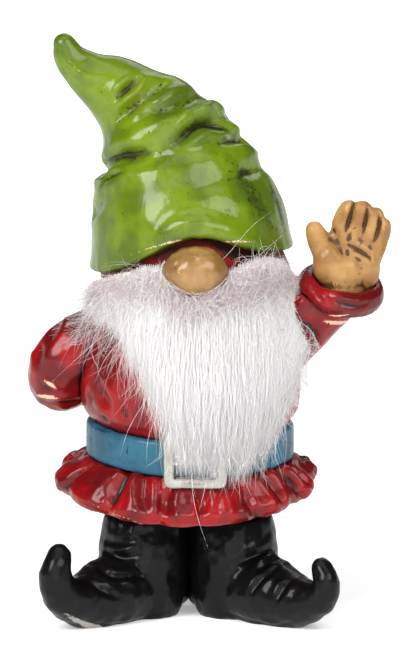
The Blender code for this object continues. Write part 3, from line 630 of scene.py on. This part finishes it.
RIGHT_SLEEVE_LINES = [
    Line(-0.6, 1.3, 0.1, [(-26.8, 60.1), (-28.2, 57.7), (-28.8, 55.6)]),
    Line(0.5, 0.9, -0.62, [(-30.2, 48.1), (-28.5, 47.2), (-26.8, 45.7)]),
    Line(0.5, 1.1, -0.6, [(-31.9, 45.0), (-29.2, 44.8), (-26.4, 44.5)]),
    # Black along the sleeve's lower opening, where the arm goes behind: dark wash in the groove
    # and painted shade in the recess.
    Line(-0.8, 1.1, 1.0, [(-27.5, 43.3), (-25.1, 43.3), (-22.6, 43.6)]),
    Line(0.3, 0.8, -0.62, [(-28.2, 41.5), (-23.7, 41.1)]),
    Line(-0.7, 1.6, 0.0, [(-30.6, 55.6), (-31.6, 51.5)]),
    Line(-0.6, 1.2, 0.1, [(-21.3, 63.9), (-23.7, 61.1), (-24.7, 58.4)]),
]
TORSO_LINES = [
    Line(-0.7, 1.3, 0.0, [(-18.5, 47.7), (-17.9, 45.0), (-15.8, 42.2)]),
    Line(-0.6, 1.1, 0.0, [(-20.6, 46.3), (-20.3, 43.6)]),
    Line(-0.6, 1.2, 0.0, [(-13.7, 42.9), (-13.0, 39.8)]),
    Line(-0.6, 0.8, 1.0, [(-18.2, 40.6), (-16.5, 39.6)]),
    Line(-0.4, 1.2, 0.9, [(-22.3, 50.8), (-22.7, 47.7), (-22.3, 45.0)]),
]
TORSO_BACK_LINES = [
    Line(-0.5, 0.9, 0.3, [(degrees, 55), (degrees + lean, 48), (degrees + 2 * lean, 42)])
    for degrees, lean in ((105, 4), (135, -3), (165, 3), (232, -4))
]
BUCKLE_LINES = [
    Line(0.0, 0.4, 0.7, [(-3.0, 27.1), (0.5, 26.9), (5.0, 27.0)]),
    Line(-0.15, 0.3, 0.5, [(-4.2, 31.0), (-4.2, 27.0)]),
]
NOSE_LINES = [
    Line(-0.2, 0.6, 0.7, [(-4.2, 76.4), (-2.4, 78.3), (1.2, 79.4), (5.0, 78.2), (7.2, 76.0)]),
]
# Painted shade under the brim: dark bands on the face beside and above the nose.
HEAD_BRIM_SHADE_LINES = [
    Line(0.0, 3.2, 1.0, [(-4.0, 76.0), (0.0, 77.4), (4.0, 76.8), (7.0, 75.0), (10.0, 73.8),
                         (14.0, 73.4), (20.0, 73.4)]),
    Line(0.0, 2.2, 0.8, [(-9.5, 72.4), (-7.0, 73.0), (-4.0, 74.6), (0.0, 76.0)]),
    Line(0.0, 0.9, 1.0, [(-14.0, 71.2), (-11.0, 72.1), (-8.6, 72.8)]),
]


def make_head():
    green = paint("green_enamel", linear(95, 116, 6), linear(70, 91, 5), coat=0.45)
    face = paint("shaded_face", linear(144, 20, 20), linear(92, 12, 14), gloss=0.5, coat=0.1)
    # The nose's paint is the skin paint made darker: painted shade, so the well-lit nose is no
    # brighter than the hand.
    shaded_skin = paint("nose_skin_in_painted_shade", linear(148, 114, 66), linear(108, 78, 40),
                  wash=SKIN_WASH, bare=linear(206, 166, 112), gloss=0.24, coat=0.5)
    cast("hat", green, melt=60, lines=HAT_LINES, around=HAT_BACK_LINES, uneven=0.4,
         lump=13.0, wear=0.1, crevice=0.45, seed=1)
    # The face also darkens near the hat: painted shade under the brim.
    cast("head", face, voxel=0.5, lines=HEAD_BRIM_SHADE_LINES, seam=("hat",),
         seam_stain=0.3, crevice=0.3, seed=2)
    cast("nose", shaded_skin, voxel=0.3, rounds=6, lines=NOSE_LINES, uneven=0.2,
         lump=1.6, seam=("hat",), seam_reach=1.0, wear=0.5, crevice=0.9, seed=3)


def make_tunic():
    red = paint("red_enamel", linear(138, 4, 8), linear(90, 4, 7), coat=0.36)
    rolled = paint("crimson_enamel", linear(130, 4, 8), linear(84, 4, 7), coat=0.4)
    blue = paint("blue_enamel", linear(44, 94, 116), linear(32, 72, 90),
                 bare=linear(120, 146, 158), gloss=0.46, coat=0.16)
    silver = paint("silver_enamel", linear(174, 172, 164), linear(142, 139, 130),
                   wash=linear(84, 62, 38), bare=linear(206, 204, 200), coat=0.2, metal=0.25)
    cast("torso", red, voxel=0.4, melt=30, lines=TORSO_LINES, around=TORSO_BACK_LINES,
         uneven=0.2, seam=("belt", "right_sleeve", "left_sleeve"), seed=4)
    cast("tunic_frill", red, rounds=6, lines=FRILL_LINES, around=FRILL_BACK_LINES,
         uneven=0.16, lump=3.0, seam=("belt", "belt_buckle"), seam_reach=1.1, crevice=0.35,
         seed=5)
    cast("belt", blue, rounds=5, lines=BELT_LINES, uneven=0.12, lump=2.5,
         seam=("torso", "tunic_frill"), seam_reach=0.8, seam_stain=0.7, wear=0.3, seed=6)
    cast("belt_buckle", silver, voxel=0.22, rounds=4, lines=BUCKLE_LINES,
         lump=1.5, seam=("belt",), seam_reach=0.9, crevice=0.9, wear=0.3, seed=7)
    cast("left_sleeve", red, lines=LEFT_SLEEVE_LINES, uneven=0.2,
         seam=("torso", "left_cuff"), seam_reach=1.0, seed=8)
    cast("right_sleeve", red, lines=RIGHT_SLEEVE_LINES, uneven=0.22,
         seam=("torso", "right_cuff"), seam_reach=1.6, seed=9)
    cast("left_cuff", rolled, voxel=0.3, rounds=6, lines=LEFT_CUFF_LINES,
         uneven=0.14, lump=3.0, seam=("left_hand",), seam_reach=0.9, seed=10)
    cast("right_cuff", rolled, voxel=0.3, rounds=6, uneven=0.14, lump=3.0,
         seam=("right_hand",), seam_reach=0.9, seed=11)


def make_hands():
    skin = paint("skin_enamel", linear(172, 134, 82), linear(134, 96, 52),
                 wash=SKIN_WASH, bare=linear(226, 190, 142), gloss=0.34, coat=0.3)
    cast("left_hand", skin, voxel=0.25, rounds=5, lines=HAND_LINES, lump=2.5,
         seam=("left_cuff",), seam_reach=0.9, crevice=0.9, wear=0.3, seed=12)
    cast("right_hand", skin, voxel=0.25, rounds=5, lump=2.5,
         seam=("right_cuff",), seam_reach=0.9, crevice=0.9, wear=0.3, seed=13)


def make_legs():
    black = paint("black_enamel", linear(12, 12, 12), linear(7, 7, 7), wash=linear(4, 4, 4),
                  bare=linear(150, 146, 140), coat=0.2, specular=0.08)
    cast("trousers", black, voxel=0.4, seed=14)
    for seed, name in enumerate(BOOT_LINES, 15):
        cast(name, black, rounds=8, lines=BOOT_LINES[name],
             around=BOOT_BACK_LINES, uneven=0.24, lump=3.0, crevice=0.3, swell=0.2, blur=4,
             seed=seed)


def paint_pins():
    """The two pins keep their CAD shape, and only get their material."""
    wire = steel_wire()
    for name in ("left_wrist_pin", "right_wrist_pin"):
        frame["nodes"][name].data.materials.clear()
        frame["nodes"][name].data.materials.append(wire)


# ---------------------------------------------------------------- the beard

# Combed directions from the gnome's right to its left, as seen from the front: where the pile
# starts, its middle and where the longest fibres end, and how far along most fibres stop.
Comb = namedtuple("Comb", "start middle end dense")
COMBS = (
    Comb((-19.8, 68.4), (-21.7, 63.2), (-24.6, 57.5), 0.22),
    Comb((-17.0, 69.0), (-19.3, 61.8), (-22.4, 54.0), 0.32),
    Comb((-13.0, 69.9), (-15.2, 61.0), (-16.6, 51.6), 0.50),
    Comb((-9.0, 71.2), (-11.0, 59.4), (-10.2, 46.5), 0.80),
    Comb((-5.0, 71.2), (-6.8, 56.0), (-5.2, 38.5), 0.95),
    Comb((-0.5, 68.6), (-2.0, 50.4), (-0.4, 32.0), 1.0),
    Comb((5.0, 69.0), (4.8, 50.5), (4.2, 31.6), 1.0),
    Comb((10.0, 71.0), (11.4, 52.5), (9.8, 31.4), 1.0),
    Comb((15.0, 72.9), (18.2, 55.5), (15.0, 33.5), 0.96),
    Comb((19.4, 72.4), (23.2, 60.5), (21.2, 43.0), 0.90),
)
# Long single hairs: across, height in the view, and height above the skin under the pile.
STRAYS = (
    ((0.2, 31.0, 4.0), (0.5, 25.5, 3.5), (1.2, 21.2, 3.0), (3.9, 13.2, 1.5)),
    ((6.5, 72.5, 4.5), (9.1, 75.2, 6.0), (12.4, 79.3, 8.5), (16.7, 82.4, 10.5)),
    ((12.5, 72.0, 4.0), (15.5, 74.7, 6.0), (19.6, 78.3, 8.0)),
    ((-12.5, 62.0, 3.5), (-17.1, 57.9, 4.5), (-23.7, 51.9, 5.0), (-28.0, 48.6, 3.5)),
    ((-13.0, 61.5, 3.5), (-20.0, 60.2, 4.5), (-26.8, 59.3, 4.0)),
    ((-9.0, 44.0, 3.0), (-12.6, 38.0, 4.0), (-14.2, 32.5, 4.0)),
    ((-12.0, 58.0, 3.0), (-17.0, 53.0, 4.0), (-19.4, 47.5, 4.0)),
    ((12.0, 33.0, 4.0), (15.4, 28.0, 4.0), (16.0, 24.5, 4.0)),
    ((20.0, 50.0, 3.0), (24.8, 44.0, 2.5), (26.2, 38.5, 2.0)),
    ((-6.0, 42.0, 3.0), (-8.5, 36.5, 3.5), (-8.8, 31.0, 3.5)),
    ((-4.5, 40.0, 3.0), (-6.2, 34.0, 3.5), (-5.5, 28.5, 3.5)),
    ((18.0, 44.0, 3.0), (19.8, 36.0, 3.5), (19.0, 28.5, 4.0)),
    ((15.0, 38.0, 3.0), (18.0, 31.0, 4.0), (19.4, 26.5, 4.0)),
)
STRAY_RADIUS = 0.036
# The nose as seen from the front, which no loose fibre crosses.
NOSE_MIDDLE = (1.3, 71.8)
NOSE_HALF = (6.8, 5.2)

# Combed fibres: where they start across the combs, and begin and end along them, in shares, and
# their radius, waviness and straying in mm. They draw together into clumps, fully at draw 1.
Combing = namedtuple(
    "Combing", "name lot seed count u_range first last radius frizz stray clumps draw")
FULL = (0.0, 1.0)
COMBINGS = (
    Combing("pile_front_a", "white", 11, 3500, FULL, (0, 0.62), (0.88, 1.08), 0.045, 0.6, 1.0,
            150, 0.7),
    Combing("pile_front_b", "white", 12, 3500, FULL, (0, 0.62), (0.80, 1.06), 0.043, 0.7, 1.3,
            220, 0.6),
    Combing("pile_cool", "cool", 13, 3500, FULL, (0, 0.55), (0.72, 1.04), 0.044, 0.7, 1.4,
            220, 0.5),
    Combing("pile_warm", "warm", 14, 3400, FULL, (0, 0.5), (0.60, 1.0), 0.044, 0.9, 2.0,
            200, 0.4),
    Combing("pile_wisps", "white", 15, 2200, FULL, (0, 0.6), (0.8, 1.12), 0.032, 1.0, 1.6,
            900, 0.1),
    Combing("pile_fringe", "warm", 16, 300, (0.0, 0.36), (0, 0.4), (0.8, 1.8), 0.030, 1.2, 2.2,
            300, 0.15),
)
# Loose fibres on the pile: where they start across and along the combs, the angle that they point
# at from straight down towards the gnome's left, its spread and their curl in degrees, and their
# length, level, lift and radius in mm. Few reach more than over mm above the pile's top edge.
Tuft = namedtuple(
    "Tuft",
    "name lot seed count u_range t_range heading spread length level lift curl radius over")
TUFTS = (
    Tuft("pile_fluff", "white", 21, 1700, (0.1, 1.0), (-0.02, 0.34), -4, 46, (3.5, 9), (3.0, 5.8),
         0.6, 90, 0.036, 1.2),
    # Darker pinkish grey fibres at the pile's top, and on its left edge and side: painted shade
    # under the brim and painted reflection of the red tunic.
    Tuft("pile_shade_tint", "shade_tint", 22, 2300, (0.08, 1.0), (-0.02, 0.19), -6, 55, (3, 9), (2.6, 5.6),
         0.6, 90, 0.038, 1.0),
    Tuft("pile_edge_right", "white", 23, 300, (0.62, 1.0), (-0.02, 0.1), 140, 50, (1.5, 5.0),
         (1.5, 4.5), 1.0, 70, 0.028, 4.0),
    Tuft("pile_edge_left", "shade_tint", 24, 170, (0.0, 0.5), (0.0, 0.1), -95, 40, (1.0, 3.0),
         (1.0, 2.6), 0.8, 70, 0.026, 1.0),
    Tuft("pile_side_left", "shade_tint", 25, 200, (0.0, 0.4), (0.3, 0.7), -48, 24, (4, 12), (1.5, 3.5),
         1.0, 45, 0.030, 1.0),
    Tuft("pile_side_right", "white", 26, 320, (0.93, 1.0), (0.1, 0.9), 30, 24, (3, 7), (1.5, 3.5),
         0.6, 45, 0.032, 1.0),
    Tuft("pile_hem", "warm", 27, 170, (0.34, 0.98), (0.8, 1.0), 0, 16, (4, 9.5), (2.5, 4.5),
         0.4, 30, 0.028, 1.0),
)

# Half-width of the oval that the pile lies on, at heights above the ground, and its depth as a
# share of that. Past EDGE_SHARE of the width it goes straight on.
PILE_HEIGHTS = (31.0, 42.0, 46.0, 52.0, 58.0, 63.0, 68.0, 76.0)
PILE_WIDTHS = (24.4, 24.4, 24.2, 24.0, 22.4, 20.6, 20.4, 20.6)
OVAL = 0.92
EDGE_SHARE = 0.9
SKIN_GAP = 0.6

# The fibres gather towards their ends into this many locks, which sway and differ in length.
LOCKS = 38
LOCK_SEED = 5
GATHER = 0.72
LOCK_SWAY = 0.8
LOCK_SWAY_PACE = 5
UNEVEN_ENDS = 0.045
CLUMP_SPREAD = 0.016
# The least run of a fibre, and how far along and beside the combs it may go, in shares.
LEAST_RUN = 0.12
FURTHEST = 1.12
SIDE_SLACK = 0.02
# Fibres start this many mm above the skin, and the pile's full depth varies across and along.
ROOT_LEVEL = 1.2
DEPTH_ACROSS = ((0, 0.12, 0.3, 0.5, 0.85, 1), (1.0, 2.2, 4.2, 5.4, 5.0, 2.6))
DEPTH_ALONG = ((0, 0.18, 0.55, 0.85, 1), (0.35, 0.85, 1, 0.62, 0.34))
# Each strand is a tube of RINGS rings with SIDES corners, kept CLEAR mm off the bodies.
RINGS = 10
SIDES = 3
CLEAR = 0.35
REACH = 6


def pile_surface(across, height):
    """How far in front of the axis the skin under the pile is, in mm."""
    width = np.interp(height, PILE_HEIGHTS, PILE_WIDTHS)
    share = np.abs(across) / width
    inner = np.sqrt(1 - np.minimum(share, EDGE_SHARE) ** 2)
    slope = EDGE_SHARE / math.sqrt(1 - EDGE_SHARE**2)
    return OVAL * width * (inner - slope * np.maximum(share - EDGE_SHARE, 0)) + SKIN_GAP


def combed(u, t):
    """Where a fibre of the comb line u (0 to 1) is at the share t of its run, as seen."""
    places = np.linspace(0, 1, len(COMBS))
    found = []
    for axis in range(2):
        start = np.interp(u, places, [comb.start[axis] for comb in COMBS])
        middle = np.interp(u, places, [comb.middle[axis] for comb in COMBS])
        end = np.interp(u, places, [comb.end[axis] for comb in COMBS])
        pull = 2 * middle - (start + end) / 2
        found.append((1 - t) ** 2 * start + 2 * t * (1 - t) * pull + t**2 * end)
    return found


def placed(across, seen_height, layer):
    """World points from places in the view and heights above the pile's skin, all in mm."""
    tilt, lift = math.sin(ELEVATION), math.cos(ELEVATION)
    height = seen_height / lift
    for _ in range(4):
        depth = -(pile_surface(across, height) + layer)
        height = (seen_height - depth * tilt) / lift
    return np.stack([across, depth, height], axis=-1) * MM + np.array(AXIS)


def swing(phase, pace, s):
    """A wave along the share s of each fibre, one row per fibre."""
    return np.sin(phase[:, None] + pace[:, None] * s)


def strand_radius(random, count, radius):
    return radius * random.uniform(0.75, 1.25, count)


def combed_fibres(group):
    """Centre lines of a Combing's fibres, RINGS points each, with their radii."""
    shared = np.random.default_rng(LOCK_SEED)
    lock_middle = (np.arange(LOCKS) + shared.uniform(0.1, 0.9, LOCKS)) / LOCKS
    longer = shared.normal(0, UNEVEN_ENDS, LOCKS)
    lock_phase = shared.uniform(0, 2 * math.pi, LOCKS)

    # The clump and the lock of each fibre, and where along the comb it begins and ends.
    random = np.random.default_rng(group.seed)
    count, frizz = group.count, group.frizz
    low, high = group.u_range
    clump_home = low + (high - low) * random.uniform(0, 1, group.clumps) ** 0.6
    mine = random.integers(0, group.clumps, count)
    lock = np.abs(clump_home[:, None] - lock_middle[None]).argmin(1)[mine]
    home = clump_home[mine]
    spread = random.normal(0, CLUMP_SPREAD, count)
    dense = np.interp(home, np.linspace(0, 1, len(COMBS)), [comb.dense for comb in COMBS])
    begin = random.uniform(*group.first, count) ** 1.15 - 0.03 * random.uniform(0, 1, count)
    finish = dense * random.uniform(*group.last, count)
    finish = finish + UNEVEN_ENDS * random.normal(0, 1, group.clumps)[mine]
    finish = np.maximum(np.minimum(finish + longer[lock], FURTHEST), begin + LEAST_RUN)
    s = np.linspace(0, 1, RINGS)[None]
    t = begin[:, None] + (finish - begin)[:, None] * s
    run = np.clip(t, 0, 1)

    # Its course in the view.
    pinch = 1 - group.draw * s**2.5
    gather = (lock_middle[lock] - home)[:, None] * GATHER * run**2.5
    u = np.clip(home[:, None] + gather + spread[:, None] * pinch, -SIDE_SLACK, 1 + SIDE_SLACK)
    across, seen = combed(u, t)
    across = across + LOCK_SWAY * np.sin(lock_phase[lock][:, None] + LOCK_SWAY_PACE * t) * run
    wave = random.uniform(0, 2 * math.pi, (4, count))
    pace = random.uniform(3, 13, (2, count))
    across = across + frizz * s * swing(wave[0], pace[0], s)
    across = across + 0.06 * swing(wave[3], 2.6 * pace[1], s)
    seen = seen + 0.5 * frizz * s * swing(wave[1], pace[1], s)
    across = across + group.stray * random.normal(0, 1, count)[:, None] * s**1.6

    # Its height above the skin under the pile.
    level = random.beta(1.5, 1.1, count)[:, None]
    rise = np.minimum(1, s / 0.3 + 0.15) * np.minimum(1, 1.25 - 0.5 * s)
    depth = np.interp(u, *DEPTH_ACROSS) * level * np.interp(t, *DEPTH_ALONG) * rise
    layer = ROOT_LEVEL + depth + 0.5 * frizz * s * swing(wave[2], pace[1], s)
    return placed(across, seen, layer), strand_radius(random, count, group.radius)


def loose_fibres(group):
    """Centre lines of a Tuft's fibres, RINGS points each, with their radii."""
    random = np.random.default_rng(group.seed)
    count = group.count
    u = random.uniform(*group.u_range, count)
    across, seen = combed(u, random.uniform(*group.t_range, count))
    s = np.linspace(0, 1, RINGS)[None]
    turn = np.radians(group.heading + group.spread * random.normal(0, 1, count))[:, None]
    turn = turn + np.radians(group.curl * random.normal(0, 1, count))[:, None] * s
    step = (random.uniform(*group.length, count) / (RINGS - 1))[:, None]
    across = across[:, None] + np.cumsum(step * np.sin(turn), axis=1)
    seen = seen[:, None] - np.cumsum(step * np.cos(turn), axis=1)
    level = random.uniform(*group.level, count)[:, None]
    layer = level + group.lift * random.uniform(0, 1, count)[:, None] * s
    side, up = NOSE_MIDDLE
    wide, high = NOSE_HALF
    clear = (((across - side) / wide) ** 2 + ((seen - up) / high) ** 2 > 1).all(1)
    edge = np.interp(across, [comb.start[0] for comb in COMBS], [comb.start[1] for comb in COMBS])
    clear &= (seen < edge + group.over * random.exponential(1, count)[:, None]).all(1)
    radius = strand_radius(random, count, group.radius)
    return placed(across, seen, layer)[clear], radius[clear]


def strays():
    """The few long hairs that stand out on their own."""
    lines = []
    for hair in STRAYS:
        trail = through(hair, 0.2)
        across, seen, layer = trail[np.linspace(0, len(trail) - 1, RINGS).astype(int)].T
        lines.append(placed(across, seen, layer))
    return np.array(lines), np.full(len(lines), STRAY_RADIUS)


def pushed_out(points, tree):
    """Points that lie in a body, or too close to it, moved to just outside it."""
    flat = points.reshape(-1, 3)
    for i, point in enumerate(flat):
        spot, normal, _, _ = tree.find_nearest(Vector(point), REACH * MM)
        if spot is None:
            continue
        away = (Vector(point) - spot).dot(normal)
        if away < CLEAR * MM:
            flat[i] = spot + normal * CLEAR * MM
    return flat.reshape(points.shape)


def evened(points):
    """Fibres with the kinks that pushing leaves taken out, their roots kept."""
    for _ in range(2):
        middle = (points[:, :-2] + points[:, 2:]) / 2
        points[:, 1:-1] = 0.5 * points[:, 1:-1] + 0.5 * middle
    return points


def strand_mesh(name, points, radius):
    """Tapered closed three-sided tubes along the given lines."""
    count = len(points)
    along = np.gradient(points, axis=1)
    along /= np.linalg.norm(along, axis=2, keepdims=True) + 1e-12
    side = np.cross(along, np.array([0.31, -0.93, 0.19]))
    side /= np.linalg.norm(side, axis=2, keepdims=True) + 1e-12
    other = np.cross(along, side)
    taper = np.interp(np.linspace(0, 1, RINGS), (0, 0.15, 0.6, 1), (0.7, 1, 0.85, 0.18))
    size = radius[:, None, None] * MM * taper[None, :, None]
    corners = []
    for corner in range(SIDES):
        turn = 2 * math.pi * corner / SIDES
        corners.append(points + size * (math.cos(turn) * side + math.sin(turn) * other))
    vertices = np.stack(corners, axis=2).reshape(-1, 3)
    per_strand = RINGS * SIDES
    ring = np.arange(RINGS - 1)[:, None] * SIDES
    here = np.arange(SIDES)[None]
    after = (here + 1) % SIDES
    quads = np.stack([ring + here, ring + after, ring + SIDES + after, ring + SIDES + here],
                     axis=-1).reshape(-1, 4)
    caps = np.array([[2, 1, 0], [per_strand - 3, per_strand - 2, per_strand - 1]])
    start = np.arange(count)[:, None, None] * per_strand
    corners_of_quads = (start + quads[None]).reshape(-1)
    corners_of_caps = (start + caps[None]).reshape(-1)
    mesh = bpy.data.meshes.new(name)
    mesh.vertices.add(len(vertices))
    mesh.vertices.foreach_set("co", vertices.astype(np.float32).ravel())
    corner_list = np.concatenate([corners_of_quads, corners_of_caps]).astype(np.int32)
    mesh.loops.add(len(corner_list))
    mesh.loops.foreach_set("vertex_index", corner_list)
    starts = np.concatenate([
        np.arange(len(corners_of_quads) // 4) * 4,
        len(corners_of_quads) + np.arange(len(corners_of_caps) // 3) * 3,
    ]).astype(np.int32)
    mesh.polygons.add(len(starts))
    mesh.polygons.foreach_set("loop_start", starts)
    mesh.update(calc_edges=True)
    mesh.shade_smooth()
    piece = bpy.data.objects.new(name, mesh)
    bpy.context.scene.collection.objects.link(piece)
    return piece


# The backing when flat, its share of the combs' run, and its height above the pile's skin.
BACKING_THICK = 0.7
BACKING_RUN = 0.5
BACKING_LAYER = 0.35
BACKING_ROWS, BACKING_COLUMNS = 30, 60
# Its bare corner beside the raised hand rises above the combs, where its dark weave is painted
# shade behind the beard's top right.
CORNER_FROM = 0.72
CORNER_RISE = 2.6


def make_backing():
    """The woven scrap that the pile grows from: a thin sheet wrapped on chest and face."""
    rows, columns = BACKING_ROWS, BACKING_COLUMNS
    u = np.linspace(0.02, 0.98, columns)[None]
    down = np.linspace(0.02, 1, rows)[:, None]
    across, seen = combed(u + 0 * down, down * BACKING_RUN + 0 * u)
    seen = seen + np.interp(u, (CORNER_FROM, 1.0), (0.0, CORNER_RISE)) * (1 - down)
    points = placed(across, seen, np.full_like(across, BACKING_LAYER)).reshape(-1, 3)
    faces = []
    for row in range(rows - 1):
        for column in range(columns - 1):
            corner = row * columns + column
            faces.append((corner, corner + columns, corner + columns + 1, corner + 1))
    mesh = bpy.data.meshes.new("beard_backing_cloth")
    mesh.from_pydata([tuple(point) for point in points], [], faces)
    piece = bpy.data.objects.new("beard_backing_cloth", mesh)
    bpy.context.scene.collection.objects.link(piece)
    solid = piece.modifiers.new("Solidify", "SOLIDIFY")
    solid.thickness = BACKING_THICK * MM
    solid.offset = 0
    bpy.context.view_layer.update()
    graph = bpy.context.evaluated_depsgraph_get()
    piece.data = bpy.data.meshes.new_from_object(piece.evaluated_get(graph))
    piece.modifiers.clear()
    piece.data.materials.clear()
    piece.data.materials.append(woven_backing())
    piece.data.shade_smooth()
    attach(piece, "root")
    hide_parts("beard_backing")


def make_beard(bodies):
    """The pile, in one piece for each group of strands, kept out of the given bodies."""
    lots = {
        "white": fibre("white_pile", linear(238, 236, 235), 0.6),
        "cool": fibre("cool_white_pile", linear(230, 226, 231), 0.65),
        "warm": fibre("warm_white_pile", linear(238, 232, 227), 0.65),
        # Darker pinkish grey: painted shade and painted reflection of the red tunic.
        "shade_tint": fibre("shade_tint_pile_roots", linear(192, 174, 173), 0.7),
    }
    made = [(group.name, group.lot, combed_fibres(group)) for group in COMBINGS]
    made += [(group.name, group.lot, loose_fibres(group)) for group in TUFTS]
    made.append(("pile_strays", "white", strays()))
    tree = tree_of(bodies)
    for name, lot, (points, radius) in made:
        piece = strand_mesh(name, evened(pushed_out(points, tree)), radius)
        piece.data.materials.append(lots[lot])
        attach(piece, "root")
        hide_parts("beard_fur")


# ---------------------------------------------------------------- the studio


def add_camera():
    data = bpy.data.cameras.new("camera")
    data.lens = LENS
    data.sensor_width = SENSOR
    camera = bpy.data.objects.new("camera", data)
    bpy.context.scene.collection.objects.link(camera)
    target = AXIS + (Vector((AIM[0], 0, 0)) + UPWARD * AIM[1]) * MM
    camera.location = target - AHEAD * (VIEW_PLANE + VIEW_HEIGHT * LENS / SENSOR) * MM
    camera.rotation_euler = (math.pi / 2 - ELEVATION, 0, 0)
    bpy.context.scene.camera = camera


# Name, angle as in from_around and elevation in degrees, distance, width and height in metres,
# and radiance.
SOFTBOXES = (
    ("key", -44, 34, 0.8, 0.42, 0.48, 12.6),
    ("side", 38, 36, 0.8, 0.56, 0.5, 5.6),
    ("front", 4, 16, 1.0, 1.0, 0.8, 1.75),
    ("top", 10, 78, 0.9, 0.8, 0.56, 2.0),
    ("back", 170, 40, 0.9, 0.68, 0.45, 2.0),
)


def add_softbox(name, degrees, elevation, distance, width, height, radiance):
    """An oval light aimed at the gnome's middle."""
    turn, rise = math.radians(degrees), math.radians(elevation)
    out = Vector((math.sin(turn) * math.cos(rise), -math.cos(turn) * math.cos(rise),
                  math.sin(rise)))
    data = bpy.data.lights.new(name, "AREA")
    data.shape = "ELLIPSE"
    data.size = width
    data.size_y = height
    area = math.pi / 4 * width * height
    data.energy = radiance * math.pi * area
    light = bpy.data.objects.new(name, data)
    bpy.context.scene.collection.objects.link(light)
    middle = (CAD_BOX[0] + CAD_BOX[1]) / 2
    light.location = middle + out * distance
    light.rotation_euler = out.to_track_quat("Z", "Y").to_euler()


def add_floor():
    made, tree, shader, place = new_material("studio_floor")
    mottle = grain(tree, place, 60.0)
    tree.links.new(blended(tree, mottle, (0.93, 0.93, 0.93, 1), (0.96, 0.96, 0.96, 1)),
                   shader.inputs["Base Color"])
    shader.inputs["Roughness"].default_value = 0.9
    shader.inputs["Specular IOR Level"].default_value = 0.1
    shader.inputs["Emission Color"].default_value = (1, 1, 1, 1)
    away = node(tree, "VectorMath", {0: place}, operation="LENGTH").outputs["Value"]
    tree.links.new(ramp(tree, away, 0.12, 0.8, 0.3, 0.95), shader.inputs["Emission Strength"])
    bpy.ops.mesh.primitive_grid_add(x_subdivisions=8, y_subdivisions=8, size=12)
    floor = bpy.context.object
    floor.name = "studio_floor"
    floor.data.materials.append(made)


def add_studio():
    scene = bpy.context.scene
    world = bpy.data.worlds.new("studio")
    world.use_nodes = True
    tree = world.node_tree
    up = node(tree, "SeparateXYZ", {0: node(tree, "TexCoord", {}).outputs["Generated"]}).outputs[2]
    sky = tree.nodes["Background"]
    sky.inputs["Color"].default_value = (1, 1, 1, 1)
    tree.links.new(ramp(tree, up, 0.085, 0.13, 0.95, 0.06), sky.inputs["Strength"])
    scene.world = world
    scene.view_settings.view_transform = "Standard"
    scene.cycles.max_bounces = 16
    scene.cycles.diffuse_bounces = 10
    add_floor()
    for softbox in SOFTBOXES:
        add_softbox(*softbox)


make_head()
make_tunic()
make_hands()
make_legs()
paint_pins()
make_backing()
make_beard([bpy.data.objects["cast_" + name] for name in (
    "hat", "head", "nose", "torso", "tunic_frill", "belt", "belt_buckle", "left_sleeve",
    "right_sleeve", "left_cuff", "left_hand")])
add_camera()
add_studio()
